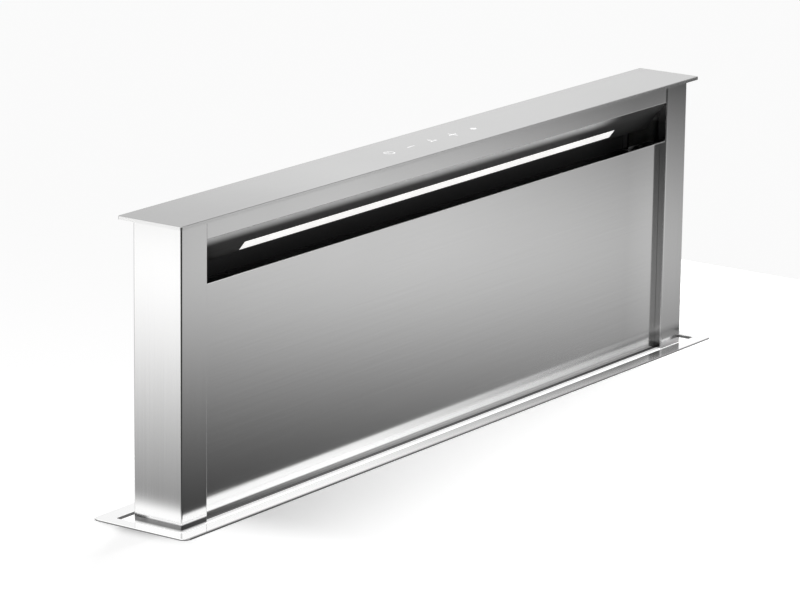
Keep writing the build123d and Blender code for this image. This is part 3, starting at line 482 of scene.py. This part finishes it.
def far_walls(tree, rebate):
    """1 on the rebate's back and right walls, which look at the dark of the gap."""
    over_ledge = ramp(tree, "Z", (ledge_low, 0.0), (ledge_high, 1.0))
    far = either(tree, soft_step(tree, "Y", back_wall, 0.004),
                 soft_step(tree, "X", right_wall, 0.004))
    return product_of(tree, over_ledge, rebate, far)


def trim_shade(tree, cut_edge, far):
    """Painted shade: dark far walls, and a dark line along the sheet's cut edge and its front rim,
    whose rim part fades towards the right.
    """
    rim_tone = ramp(tree, "X", (frame_low.x, 0.40), (frame_high.x - 0.15, 1.0))
    on_top = blend_values(tree, cut_edge, rim_tone, constant(tree, 1.0))
    off_rim = soft_step(tree, "Y", frame_low.y + rim_depth, 0.0006)
    painted_rim_shade = blend_values(tree, off_rim, on_top, constant(tree, 1.0))
    return product_of(tree, toned(tree, far, 0.10), toned(tree, cut_edge, 0.25), painted_rim_shade)


print("frame", round(frame_high.x - frame_low.x, 3), "by", round(frame_high.y - frame_low.y, 3))

# %% [markdown]
# ## The finish of the frame
# With the zones known, the finish itself is short. Tint and gloss follow the wiping marks, and the
# masks set where it is bare metal, where it is satin, where shade is painted into the tint and
# where it glows.

# %% Polish the frame
def polished_trim(name, level, rough):
    material, tree, shader = new_finish(name, Emission_Color=white)
    wiping = noise(tree, (26.0, 26.0, 26.0), detail=5.0)
    rebate, cut_edge = trim_zones(tree)
    far = far_walls(tree, rebate)
    tint = colour_between(tree, wiping, grey(level * 0.97), grey(level))
    bounces = product_of(tree, rebate, toned(tree, far, 0.0))
    wired(tree, shader, Base_Color=darkened(tree, tint, trim_shade(tree, cut_edge, far)),
          Roughness=to_range(tree, wiping, rough, rough + 0.05),
          Metallic=toned(tree, rebate, 0.05),
          Emission_Strength=to_range(tree, bounces, 0.0, 0.55, 0.0, 1.0))
    return material


steel_trim = polished_trim("steel_trim", 0.97, 0.06)
print("polished:", steel_trim.name)

# %% [markdown]
# ## The foot sill
# A satin strip closes the recess at the foot of the panel. It lies in the same bounced light as the
# rebate, so a little emission stands for that light too, and its back edge is painted dark, as the
# shade of the panel.

# %% Brush the sill
sill_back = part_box("foot_sill")[1].y


def sill_shade(tree):
    # painted shade along the back edge, under the panel
    return ramp(tree, "Y", (sill_back - 0.0034, 1.0), (sill_back - 0.0018, 0.06))


def bright_sill(name, level, rough):
    material = brushed_steel(name, level, rough, shade=sill_shade, metallic=0.1)
    tree = material.node_tree
    shader = tree.nodes["Principled BSDF"]
    shader.inputs["Emission Color"].default_value = white
    # a glow that stands for bounced light, fading out where the shade is painted
    wired(tree, shader, Emission_Strength=to_range(tree, sill_shade(tree), 0.0, 0.42, 0.0, 1.0))
    return material


steel_sill = bright_sill("steel_sill", 0.94, 0.45)
print("sill ends at", round(sill_back, 4))

# %% [markdown]
# ## Zinc-coated sheet
# Under the worktop nobody sees the vent, so it is made of zinc-coated sheet. The zinc freezes in
# flat crystals, the spangle, which a Voronoi texture draws: each cell has its own grey and its own
# roughness.

# %% Coat the casing's sheet
crystals_per_metre = 95.0


def zinc_sheet(name, level):
    material, tree, shader = new_finish(name, Metallic=0.95)
    crystals = add(tree, "TexVoronoi", own_place(tree, (crystals_per_metre,) * 3))
    crystals.inputs["Scale"].default_value = 1.0
    cell = add(tree, "SeparateColor", crystals.outputs["Color"])
    tint = colour_between(tree, cell.outputs["Red"], grey(level * 0.86, -0.012), grey(level * 1.1))
    wired(tree, shader, Base_Color=tint,
          Roughness=to_range(tree, cell.outputs["Green"], 0.30, 0.48, 0.0, 1.0))
    bumped(tree, shader, noise(tree, (400.0, 400.0, 400.0)), 8e-6)
    return material


zinc = zinc_sheet("zinc_sheet", 0.62)
print("a crystal is about", round(1000 / crystals_per_metre), "mm wide")

# %% [markdown]
# ## Machined and cast metal
# Machined steel has fine tool marks that run one way, and cast aluminium a grainy skin. One
# function serves racks, shafts, screws and filters: only tone, gloss and the way of the marks
# differ. The clips behind the front panel are blackened, so that they don't shine in the slot.

# %% Machine and cast the metals
def machined_steel(name, level, rough, stretch):
    """Metal with tool marks; stretch says how fine they are along each axis."""
    material, tree, shader = new_finish(name, Metallic=1.0)
    marks = noise(tree, stretch, detail=3.0, roughness=0.65)
    tint = colour_between(tree, marks, grey(level * 0.9), grey(level * 1.05))
    roughness = to_range(tree, marks, rough - 0.06, rough + 0.06)
    wired(tree, shader, Base_Color=tint, Roughness=roughness)
    bumped(tree, shader, marks, 1e-5)
    return material


def cast_metal(name, level):
    material, tree, shader = new_finish(name, Metallic=1.0)
    skin = noise(tree, (900.0, 900.0, 900.0), detail=5.0, roughness=0.7)
    tint = colour_between(tree, skin, grey(level * 0.82), grey(level * 1.08))
    wired(tree, shader, Base_Color=tint, Roughness=to_range(tree, skin, 0.38, 0.58))
    bumped(tree, shader, skin, 6e-5)
    return material


machined = machined_steel("machined_steel", 0.58, 0.24, (700.0, 700.0, 60.0))
turned = machined_steel("turned_steel", 0.60, 0.20, (900.0, 120.0, 120.0))
spring_steel = machined_steel("spring_steel", 0.72, 0.18, (60.0, 600.0, 600.0))
blackened_spring = machined_steel("blackened_spring", 0.07, 0.42, (60.0, 600.0, 600.0))
filter_metal = machined_steel("filter_aluminium", 0.74, 0.30, (40.0, 700.0, 700.0))
cast_aluminium = cast_metal("cast_aluminium", 0.62)
print("tool marks on", machined.name, "and", turned.name)

# %% [markdown]
# ## Plastics, rubber and coatings
# A moulded part has the fine spark texture of its mould, and small changes of gloss where hands
# and ejector pins touched it. Powder coat has a soft orange peel. Rubber is duller, with a bloom.

# %% Mould the plastics, the rubber and the paint
def moulded(name, colour, rough, grain_scale=1400.0, depth=1.2e-5):
    material, tree, shader = new_finish(name)
    grain = noise(tree, (grain_scale,) * 3, detail=2.0)
    patches = noise(tree, (30.0, 30.0, 30.0), detail=3.0)
    darker = tuple(channel * 0.85 for channel in colour)
    lighter = tuple(min(1, channel * 1.12) for channel in colour)
    roughness = sum_of(tree, to_range(tree, patches, rough - 0.05, rough + 0.05),
                       to_range(tree, grain, -0.03, 0.03))
    wired(tree, shader, Base_Color=colour_between(tree, patches, darker, lighter),
          Roughness=roughness)
    bumped(tree, shader, grain, depth)
    return material


black_plastic = moulded("black_plastic", (0.035, 0.035, 0.037), 0.45)
flap_plastic = moulded("flap_plastic", (0.20, 0.20, 0.21), 0.50)
terminal_plastic = moulded("terminal_plastic", (0.74, 0.75, 0.72), 0.42)
natural_nylon = moulded("nylon", (0.82, 0.81, 0.74), 0.38)
seal_rubber = moulded("seal_rubber", (0.028, 0.028, 0.028), 0.65, grain_scale=600.0)
black_coat = moulded("black_coat", (0.022, 0.022, 0.023), 0.55, grain_scale=320.0, depth=4e-5)
motor_paint = moulded("motor_can", (0.11, 0.11, 0.12), 0.36, grain_scale=500.0, depth=2e-5)
board_green = moulded("board_green", (0.03, 0.16, 0.07), 0.35, grain_scale=260.0)
touch_white = moulded("mark_light", (0.90, 0.90, 0.90), 0.30)
print("moulded or coated:", black_plastic.name, seal_rubber.name)

# %% [markdown]
# ## The lit strip
# An opal plastic bar spreads the light of small chips behind it, so the eye sees one even line.
# Its colour and its glow add up to just white. The soft noise keeps the chips just noticeable.

# %% Light the diffuser
def lit_opal(name, strength):
    material, tree, shader = new_finish(name, Roughness=0.35, Emission_Color=warm_white)
    chips = noise(tree, (38.0, 2.0, 2.0), detail=1.0)
    wired(tree, shader, Base_Color=colour_between(tree, chips, grey(0.40), grey(0.44)),
          Emission_Strength=to_range(tree, chips, strength * 0.92, strength))
    return material


lit_strip = lit_opal("light_strip", 0.80)
print("lit strip ends at", round(strip_end, 4))

# %% [markdown]
# ## Dress the CAD nodes
# Each node keeps its mesh, and only its material slot changes. One table says which piece is made
# of what, in the order in which they would lie on a bench.

# %% Give each node its finish
made_of = {
    steel_lid: ("lid",),
    steel_front: ("front_panel", "header_fascia"),
    steel_back: ("rear_panel",),
    steel_column: ("column_left", "column_right"),
    steel_bar: ("light_bar",),
    steel_sill: ("foot_sill",),
    steel_trim: ("trim_frame",),
    lit_strip: ("led_diffuser",),
    touch_white: ("touch_marks",),
    board_green: ("touch_board", "led_strip"),
    spring_steel: ("filter_handles", "casing_screws", "clamp_screws"),
    blackened_spring: ("panel_clips",),
    filter_metal: ("grease_filter_left", "grease_filter_right"),
    black_coat: ("baffle_plate", "filter_shelf"),
    zinc: ("tower_base", "casing_front", "casing_rear", "casing_end_left", "casing_end_right",
           "casing_floor", "drive_beam", "blower_scroll", "blower_cover", "inlet_ring",
           "worktop_brackets", "floor_brackets"),
    machined: ("lift_rack_left", "lift_rack_right", "guide_post_left", "guide_post_right",
               "fan_shaft", "damper_pin"),
    turned: ("sync_shaft", "pinion_left", "pinion_right"),
    natural_nylon: ("guide_bushes", "shaft_bearings"),
    cast_aluminium: ("post_clamp_left", "post_clamp_right", "lift_gearbox"),
    motor_paint: ("lift_motor", "fan_motor"),
    black_plastic: ("limit_switches", "impeller", "outlet_collar", "control_box",
                    "control_box_cover", "cable_gland"),
    flap_plastic: ("damper_flap_front", "damper_flap_rear"),
    terminal_plastic: ("terminal_block",),
    seal_rubber: ("wiper_seal",),
}


def dress(obj, material):
    obj.data.materials.clear()
    obj.data.materials.append(material)


for material, names in made_of.items():
    for name in names:
        dress(nodes[name], material)
dressed = sorted(name for names in made_of.values() for name in names)
print("dressed", len(dressed), "of", len(nodes), "missing:", sorted(set(nodes) - set(dressed)))

# %% [markdown]
# ## Tools for the small fittings
# The CAD solids stop at the shape of each part, and the fixings are still missing. They are made
# as in the viewport: one object is selected, its modifiers are applied, and copies are joined. A
# finished piece gets its name, its finish and the body that carries it.

# %% Select, apply, join, hand over
sunk_in = 0.0002                    # how far a fitting sits in its seat, so that no gap shows


def none_selected():
    bpy.ops.object.select_all(action="DESELECT")


def only(obj):
    """Makes one object the selected and active one."""
    none_selected()
    obj.select_set(True)
    bpy.context.view_layer.objects.active = obj


def settle(obj):
    """Puts the object's place, turn and size into its mesh."""
    only(obj)
    bpy.ops.object.transform_apply(location=True, rotation=True, scale=True)


def apply_modifiers(obj):
    only(obj)
    for modifier in list(obj.modifiers):
        bpy.ops.object.modifier_apply(modifier=modifier.name)


def joined(parts):
    only(parts[0])
    for part in parts:
        part.select_set(True)
    if len(parts) > 1:
        bpy.ops.object.join()
    settle(parts[0])
    return parts[0]


def hand_over(obj, name, body, finish):
    """Names and dresses a finished piece, and ties it to the body that carries it."""
    obj.name = name
    dress(obj, finish)
    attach(obj, body)
    print(name, "rides on", body, "with", len(obj.data.polygons), "faces")


print("fittings sit", round(sunk_in * 1000, 1), "mm deep")

# %% [markdown]
# ## One screw head and its copies
# A head starts as a cylinder. Bevel eases its rim, and a six-sided key, subtracted from it, leaves
# the socket. Spin could turn it too, but the socket needs the key anyway. The head is modelled
# once, upright on the origin, and each screw is a copy that is turned and placed.

# %% Model a screw head
head_sides = 20
rim_share = 0.28                    # of the head's height
socket_share = 0.48                 # of the head's radius
key_rise = 1.05                     # the key's middle, in head heights, so the socket ends at 0.55


def socket_head(radius, height):
    none_selected()
    bpy.ops.mesh.primitive_cylinder_add(vertices=head_sides, radius=radius, depth=height,
                                        location=(0, 0, height / 2))
    head = bpy.context.object
    settle(head)
    rim = head.modifiers.new("rim", "BEVEL")
    rim.width = height * rim_share
    rim.segments = 2
    rim.limit_method = "ANGLE"
    apply_modifiers(head)
    bpy.ops.mesh.primitive_cylinder_add(vertices=6, radius=radius * socket_share, depth=height,
                                        location=(0, 0, height * key_rise))
    key = bpy.context.object
    sunk = head.modifiers.new("socket", "BOOLEAN")
    sunk.operation = "DIFFERENCE"
    sunk.object = key
    apply_modifiers(head)
    bpy.data.objects.remove(key)
    return head


def screw_on(name, radius, height, facing, places):
    """Copies of one head, all facing the same way, as one piece of the casing."""
    head = socket_head(radius, height)
    turn = Vector(facing).to_track_quat("Z", "Y").to_euler()
    copies = []
    for place in places:
        only(head)
        bpy.ops.object.duplicate()
        copy = bpy.context.object
        copy.rotation_euler = turn
        copy.location = place
        copies.append(copy)
    bpy.data.objects.remove(head)
    hand_over(joined(copies), name, "casing", spring_steel)


to_front, to_right, to_top = (0, -1, 0), (1, 0, 0), (0, 0, 1)
corners = [(side, up) for side in (-1, 1) for up in (-1, 1)]
print("a head has", head_sides, "sides")

# %% [markdown]
# ## Screws of the blower and its motor
# The motor's square plate carries one screw near each corner, and so does the plate of the duct
# collar. Both patterns are worked out from the boxes of the CAD nodes, so they follow the part.

# %% Screw the motor plate and the collar on
cover_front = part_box("blower_cover")[0].y
fan_low, fan_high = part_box("fan_motor")
plate_middle = (fan_low + fan_high) / 2
plate_face = cover_front - 0.0025   # the plate's thickness in front of the cover
plate_reach = (fan_high.x - fan_low.x) / 2 - 0.014
screw_on("motor_plate_screws", radius=0.0045, height=0.0026, facing=to_front, places=[
    (plate_middle.x + side * plate_reach, plate_face + sunk_in, plate_middle.z + up * plate_reach)
    for side, up in corners])

collar_low, collar_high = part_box("outlet_collar")
collar_middle = (collar_low + collar_high) / 2
collar_face = collar_low.x + 0.002
collar_reach = (collar_high - collar_low) / 2 - Vector((0, 0.008, 0.008))
screw_on("collar_plate_screws", radius=0.0040, height=0.0024, facing=to_right, places=[
    (collar_face - sunk_in, collar_middle.y + side * collar_reach.y,
     collar_middle.z + up * collar_reach.z) for side, up in corners])

# %% [markdown]
# ## Hoops of the lift motor and bead of the collar
# A small motor's can is rolled sheet, held at both ends by a pressed hoop. The duct collar has a
# bead round it, so that a duct clamped over it can't slip off. Each is an open tube, which Solidify
# makes thick outwards and Bevel eases. Two long bolts hold the motor together.

# %% Roll the hoops and the bead
across = (0, math.pi / 2, 0)        # turns an upright tube to lie along X
hoop_width, hoop_thickness = 0.006, 0.0007
hoop_places = (0.010, 0.088)        # from the motor's left end
bead_width, bead_height = 0.004, 0.0014
bead_from_end = 0.012
collar_tube_radius = 0.0745


def band(radius, width, thickness, centre):
    """A closed hoop round a tube that lies along X."""
    none_selected()
    bpy.ops.mesh.primitive_cylinder_add(vertices=72, radius=radius, depth=width,
                                        end_fill_type="NOTHING", location=centre, rotation=across)
    hoop = bpy.context.object
    settle(hoop)
    wall = hoop.modifiers.new("wall", "SOLIDIFY")
    wall.thickness = thickness
    wall.offset = 1.0
    ease = hoop.modifiers.new("ease", "BEVEL")
    ease.width = thickness * 0.3
    ease.segments = 2
    ease.limit_method = "ANGLE"
    apply_modifiers(hoop)
    return hoop


motor_low, motor_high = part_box("lift_motor")
motor_middle = (motor_low + motor_high) / 2
motor_radius = (motor_high.z - motor_low.z) / 2
hoops = joined([band(motor_radius - sunk_in / 2, hoop_width, hoop_thickness,
                     (motor_low.x + place, motor_middle.y, motor_middle.z))
                for place in hoop_places])
hand_over(hoops, "motor_hoops", "casing", spring_steel)

bead = band(collar_tube_radius - sunk_in, bead_width, bead_height,
            (collar_high.x - bead_from_end, collar_middle.y, collar_middle.z))
hand_over(bead, "collar_bead", "casing", black_plastic)

motor_face = motor_high.x - 0.005   # the nose stands 5 mm out of it
bolt_reach = motor_radius * 0.68
screw_on("motor_end_bolts", radius=0.0028, height=0.0018, facing=to_right, places=[
    (motor_face - sunk_in, motor_middle.y + side * bolt_reach, motor_middle.z)
    for side in (-1, 1)])

# %% [markdown]
# ## Screws of the electrics
# The control box closes with four screws. The terminal block has one clamping screw over each
# wire's hole, and each limit switch hangs on two small ones.

# %% Screw the electrics together
box_low, box_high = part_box("control_box_cover")
box_middle = (box_low + box_high) / 2
box_reach = (box_high - box_low) / 2 - Vector((0.010, 0, 0.010))
screw_on("box_cover_screws", radius=0.0035, height=0.0020, facing=to_front, places=[
    (box_middle.x + side * box_reach.x, box_low.y + sunk_in, box_middle.z + up * box_reach.z)
    for side, up in corners])

poles = 5
pole_pitch = 0.009
row_low, row_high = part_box("terminal_block")
row_middle = (row_low + row_high) / 2
clamp_level = row_middle.z + 0.0068     # over the holes for the wires
screw_on("terminal_screws", radius=0.0024, height=0.0012, facing=to_front, places=[
    (row_middle.x + (index - (poles - 1) / 2) * pole_pitch, row_low.y + sunk_in, clamp_level)
    for index in range(poles)])

switch_low, switch_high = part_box("limit_switches")
switch_face = switch_low.x + 0.006      # a switch is 6 mm thick
switch_reach = 0.0062
from_end = 0.0100
screw_on("switch_screws", radius=0.0018, height=0.0010, facing=to_right, places=[
    (switch_face - sunk_in, side * switch_reach, level)
    for side in (-1, 1) for level in (switch_low.z + from_end, switch_high.z - from_end)])

# %% [markdown]
# ## Bolts of the brackets, the clamps and the gearbox
# Each angle that holds the vent in the cabinet is bolted to the end of the casing. The blocks that
# clamp the guide posts close with one bolt on each side of the split, and the gearbox has a lid
# with four screws.

# %% Bolt the brackets and the drive
bracket_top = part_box("worktop_brackets")[1].z
bracket_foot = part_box("floor_brackets")[0].z
leg_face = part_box("casing_end_right")[1].x + 0.003      # an angle is 3 mm thick
bolt_rows = [
    # height, half of the distance between the two bolts
    (bracket_top - 0.016, 0.012),
    (bracket_foot + 0.020, 0.020),
]
clamp_reach = 0.0125
for side, word in ((-1, "left"), (1, "right")):
    screw_on("bracket_bolts_" + word, radius=0.0040, height=0.0028, facing=(side, 0, 0), places=[
        (side * (leg_face - sunk_in), y, level)
        for level, reach in bolt_rows for y in (-reach, reach)])

    clamp_low, clamp_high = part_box("post_clamp_" + word)
    post_low, post_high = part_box("guide_post_" + word)
    post_x = (post_low.x + post_high.x) / 2
    screw_on("clamp_bolts_" + word, radius=0.0026, height=0.0016, facing=to_front, places=[
        (post_x + offset, clamp_low.y + sunk_in, (clamp_low.z + clamp_high.z) / 2)
        for offset in (-clamp_reach, clamp_reach)])

gear_low, gear_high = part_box("lift_gearbox")
gear_in_x, gear_in_y = 0.008, 0.012     # how far the screws stand in from the lid's edges
screw_on("gearbox_screws", radius=0.0026, height=0.0016, facing=to_top, places=[
    (x, y, gear_high.z - sunk_in) for x in (gear_low.x + gear_in_x, gear_high.x - gear_in_x)
    for y in (gear_low.y + gear_in_y, gear_high.y - gear_in_y)])

# %% [markdown]
# ## The mesh of the grease filters
# A grease filter is a frame round layers of expanded aluminium: sheet that is slit and then pulled
# open into diamonds. A plain grid, poked and turned back to quads, gives the diamonds. Each one is
# inset and its middle deleted, which leaves the strands, and Solidify makes them as thick as the
# sheet. It is made flat, tipped as the filter leans, and laid into each side of its frame.

# %% Open the diamonds
filter_tilt = math.radians(12)
filter_thickness = 0.009
filter_height = 0.150
filter_border = 0.009
mesh_sink = 0.002
strand = 0.0009
diamond_width, diamond_height = 0.012, 0.008


def diamond_sheet(width, height):
    """A flat sheet of diamond mesh, centred on the origin in the XZ plane."""
    none_selected()
    bpy.ops.mesh.primitive_grid_add(x_subdivisions=round(width / diamond_width),
                                    y_subdivisions=round(height / diamond_height), size=1,
                                    rotation=(math.pi / 2, 0, 0))
    sheet = bpy.context.object
    sheet.scale = (width - strand, height - strand, 1)
    settle(sheet)
    bpy.ops.object.mode_set(mode="EDIT")
    bpy.ops.mesh.select_all(action="SELECT")
    bpy.ops.mesh.poke()
    bpy.ops.mesh.tris_convert_to_quads(face_threshold=math.pi, shape_threshold=math.pi)
    bpy.ops.mesh.select_mode(type="FACE")
    bpy.ops.mesh.select_all(action="SELECT")
    bpy.ops.mesh.inset(thickness=strand / 2, use_individual=True)
    bpy.ops.mesh.delete(type="FACE")
    bpy.ops.object.mode_set(mode="OBJECT")
    metal = sheet.modifiers.new("metal", "SOLIDIFY")
    metal.thickness = strand
    metal.offset = 0.0
    apply_modifiers(sheet)
    return sheet


for word in ("left", "right"):
    low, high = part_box("grease_filter_" + word)
    foot_front = Vector((0, low.y, low.z + filter_thickness * math.sin(filter_tilt)))
    lean = Matrix.Translation(foot_front) @ Matrix.Rotation(-filter_tilt, 4, "X")
    sheets = []
    for depth in (mesh_sink / 2, filter_thickness - mesh_sink / 2):
        sheet = diamond_sheet(high.x - low.x - 2 * filter_border, filter_height - 2 * filter_border)
        sheet.matrix_world = lean @ Matrix.Translation(
            ((low.x + high.x) / 2, depth, filter_height / 2))
        sheets.append(sheet)
    hand_over(joined(sheets), "filter_mesh_" + word, "tower", filter_metal)

# %% [markdown]
# ## Pale surfaces
# The stage is matt and pale. It is lit like anything else, and the camera also sees a little glow
# in it, which lifts the open surface to white and leaves the soft shadows. Close to the frame two
# soft bells hold that glow back and so paint a soft shadow, because a shadow that touches the
# object makes it stand. Left of the frame's front the glow is raised instead, which paints that
# stretch lighter.

# %% Make the stage's finish
def pale_stage(name, level, glow, shade=None):
    """shade holds the glow back from place to place, and so paints shadow there."""
    material, tree, shader = new_finish(name, Base_Color=(*grey(level), 1), Roughness=0.9,
                                        Specular_IOR_Level=0.0, Emission_Color=white)
    seen = add(tree, "LightPath").outputs["Is Camera Ray"]
    lift = to_range(tree, seen, 0.0, glow, 0.0, 1.0)
    if shade:
        lift = product_of(tree, lift, shade(tree))
    wired(tree, shader, Emission_Strength=lift)
    return material


def bell(tree, centre_x, centre_y, reach_x, reach_y, height):
    """A soft bell of the given height over a point of the worktop."""
    stretch = (1 / reach_x, 1 / reach_y, 0)
    place = own_place(tree, stretch, (-centre_x / reach_x, -centre_y / reach_y, 0))
    square = add(tree, "VectorMath", place, place, operation="DOT_PRODUCT").outputs["Value"]
    fall = product_of(tree, square, constant(tree, -1.0))
    power = add(tree, "Math", fall, operation="EXPONENT").outputs["Value"]
    return product_of(tree, power, constant(tree, height))


def painted_contact_shadow(tree):
    """Paints a soft shadow along the frame's front and close to its left end, and raises the glow
    left of the front.
    """
    # painted shadow: a bell along the frame's front and one at its left end; left of the front the
    # raised glow paints the stretch lighter
    shadow = bell(tree, -0.38, -0.05, 0.22, 0.093, 0.50)
    in_front = soft_step(tree, "X", -0.385, 0.050)
    front = blend_values(tree, in_front, constant(tree, 1.45), toned(tree, shadow, 0.0))
    at_end = bell(tree, frame_low.x, 0.005, 0.012, 0.048, 0.70)
    return product_of(tree, front, toned(tree, at_end, 0.0))


pale_board = pale_stage("pale_board", 0.80, 0.40, painted_contact_shadow)
pale_floor = pale_stage("pale_floor", 0.80, 0.60)
print("stage finishes:", pale_board.name, pale_floor.name)

# %% [markdown]
# ## The worktop and the floor
# The vent hangs in a worktop, so the stage is a board with a cut-out, made by a Boolean with a box,
# and a floor under it.

# %% Build the stage
cut_x, cut_y = 0.4475, 0.043        # half of the cut-out, which is 895 by 86 mm
board_left, board_right, board_front, board_back = -0.74, 0.74, -0.63, 0.16
board_thickness = 0.040
floor_reach = 7
floor_level = cad_box[0][2] - 0.0005


def box_part(name, low, high):
    none_selected()
    size = Vector(high) - Vector(low)
    bpy.ops.mesh.primitive_cube_add(size=1, location=(Vector(low) + Vector(high)) / 2, scale=size)
    part = bpy.context.object
    part.name = name
    settle(part)
    return part


def plane_part(name, x0, x1, y0, y1, level):
    none_selected()
    bpy.ops.mesh.primitive_plane_add(size=1, location=((x0 + x1) / 2, (y0 + y1) / 2, level))
    part = bpy.context.object
    part.name = name
    part.scale = (x1 - x0, y1 - y0, 1)
    settle(part)
    return part


worktop = box_part("worktop_board", (board_left, board_front, -board_thickness),
                   (board_right, board_back, 0))
cutter = box_part("cutout", (-cut_x, -cut_y, -0.1), (cut_x, cut_y, 0.1))
cut = worktop.modifiers.new("cutout", "BOOLEAN")
cut.object = cutter
apply_modifiers(worktop)
bpy.data.objects.remove(cutter)
dress(worktop, pale_board)

floor = plane_part("floor", -floor_reach, floor_reach, -floor_reach, floor_reach, floor_level)
dress(floor, pale_floor)
print("worktop board", [round(v, 3) for v in worktop.dimensions])

# %% [markdown]
# ## The light of the cards
# Bright metal shows its surroundings more than its own colour. A photographer lays pale cards
# where the metal looks, and lets them fade, so that flat sheet gets a soft gradient. Here a card
# glows upwards in a few soft pools, the same bells as above, and is clear from below.

# %% Make the card's light
def card_light(name, base, pools):
    material = bpy.data.materials.new(name)
    material.use_nodes = True
    tree = material.node_tree
    tree.nodes.clear()
    lit = add(tree, "Emission")
    glow = sum_of(tree, constant(tree, base), *[bell(tree, *pool) for pool in pools])
    tree.links.new(glow, lit.inputs["Strength"])
    clear = add(tree, "BsdfTransparent")
    below = add(tree, "NewGeometry").outputs["Backfacing"]
    mix = add(tree, "MixShader", below, lit.outputs["Emission"], clear.outputs["BSDF"])
    add(tree, "OutputMaterial", mix.outputs["Shader"])
    return material


front_pools = [
    # centre x, centre y, reach x, reach y, glow
    (0.56, -0.51, 0.69, 0.56, 0.70),
    (1.05, -0.82, 0.48, 0.26, 0.24),
]
side_pools = [
    (-1.24, 0.50, 0.66, 1.50, 1.34),
    (-0.4585, 0.00, 0.024, 0.60, 1.00),
    (1.45, 0.70, 0.90, 1.00, 0.80),
    (0.10, 1.10, 0.60, 0.50, 0.35),
]
front_card = card_light("front_card", 0.012, front_pools)
side_card = card_light("side_card", 0.03, side_pools)
print("pools of light:", len(front_pools), "in front,", len(side_pools), "to the sides")

# %% [markdown]
# ## Lay the cards
# Four strips lie just over the worktop, round the frame and not under it. Only glossy rays see
# them, so they neither light the worktop nor stand in the picture.

# %% Lay the reflecting cards
card_reach = 4.0
card_level = 0.0006


def seen_only_in_gloss(obj):
    for rays_of in ("camera", "diffuse", "transmission", "volume_scatter", "shadow"):
        setattr(obj, "visible_" + rays_of, False)


card_strips = {
    "card_front": (-card_reach, card_reach, -card_reach, frame_low.y, front_card),
    "card_back": (-card_reach, card_reach, frame_high.y, card_reach, side_card),
    "card_left": (-card_reach, frame_low.x, frame_low.y, frame_high.y, side_card),
    "card_right": (frame_high.x, card_reach, frame_low.y, frame_high.y, side_card),
}
for name, (x0, x1, y0, y1, finish) in card_strips.items():
    strip = plane_part(name, x0, x1, y0, y1, card_level)
    dress(strip, finish)
    seen_only_in_gloss(strip)
print("cards:", ", ".join(card_strips))

# %% [markdown]
# ## The room
# The camera and the metal see different rooms. The camera sees plain white behind the object. The
# metal sees a bright haze with one darker stretch, which gives its edges something to show. All
# other rays meet an even grey, so the colours stay true.

# %% Set the surroundings
haze_stops = [
    # azimuth in degrees from +Y towards +X, and how bright the haze is there
    (-120, 0.9), (-54, 1.4), (0, 0.9), (48, 0.92), (55, 1.05), (90, 0.8), (112, 0.35),
    (121.5, 0.36), (123.3, 0.80), (124.8, 1.25), (127, 1.40), (160, 1.2)]
haze_behind = 0.80                  # straight to -Y, where the ramp begins and ends
room_level = 0.45


def background(tree, *colour, strength=1.0):
    node = add(tree, "Background", *colour)
    node.inputs["Color"].default_value = white
    node.inputs["Strength"].default_value = strength
    return node.outputs["Background"]


def haze_colour(tree):
    """The haze as a ramp of greys round the horizon."""
    way = add(tree, "SeparateXYZ", add(tree, "TexCoord").outputs["Generated"]).outputs
    azimuth = add(tree, "Math", way["X"], way["Y"], operation="ARCTAN2").outputs["Value"]
    haze = add(tree, "ValToRGB", to_range(tree, azimuth, 0.0, 1.0, -math.pi, math.pi))
    stops = haze.color_ramp
    stops.interpolation = "EASE"
    for end in stops.elements:
        end.color = (*grey(haze_behind), 1)
    for degrees, level in haze_stops:
        stops.elements.new((degrees + 180) / 360).color = (*grey(level), 1)
    return haze.outputs["Color"]


def chosen(tree, factor, first, second):
    """The first background, or the second where the factor is 1."""
    return add(tree, "MixShader", factor, first, second).outputs["Shader"]


world = bpy.data.worlds.new("studio")
bpy.context.scene.world = world
world.use_nodes = True
air = world.node_tree
air.nodes.clear()
rays = add(air, "LightPath").outputs
unseen = chosen(air, rays["Is Glossy Ray"], background(air, strength=room_level),
                background(air, haze_colour(air)))
add(air, "OutputWorld", chosen(air, rays["Is Camera Ray"], unseen, background(air)))
print("haze stops:", len(haze_stops))

# %% [markdown]
# ## The lamp
# One broad lamp overhead, a little behind and to the right, makes the soft shadow at the foot;
# along the frame's front the worktop's painted shadow deepens it. It looks at the origin. Glossy
# rays don't see it, so that no hard patch shows in the steel.

# %% Hang the lamp
lamp_data = bpy.data.lights.new("overhead", "AREA")
lamp_data.shape = "RECTANGLE"
lamp_data.size = 0.9
lamp_data.size_y = 0.6
lamp_data.energy = 26
lamp = bpy.data.objects.new("overhead", lamp_data)
bpy.context.collection.objects.link(lamp)
lamp.location = (1.05, 0.22, 1.25)
lamp.rotation_euler = (-lamp.location).to_track_quat("-Z", "Y").to_euler()
lamp.visible_glossy = False
print("lamp", lamp_data.energy, "W at", [round(v, 2) for v in lamp.location])
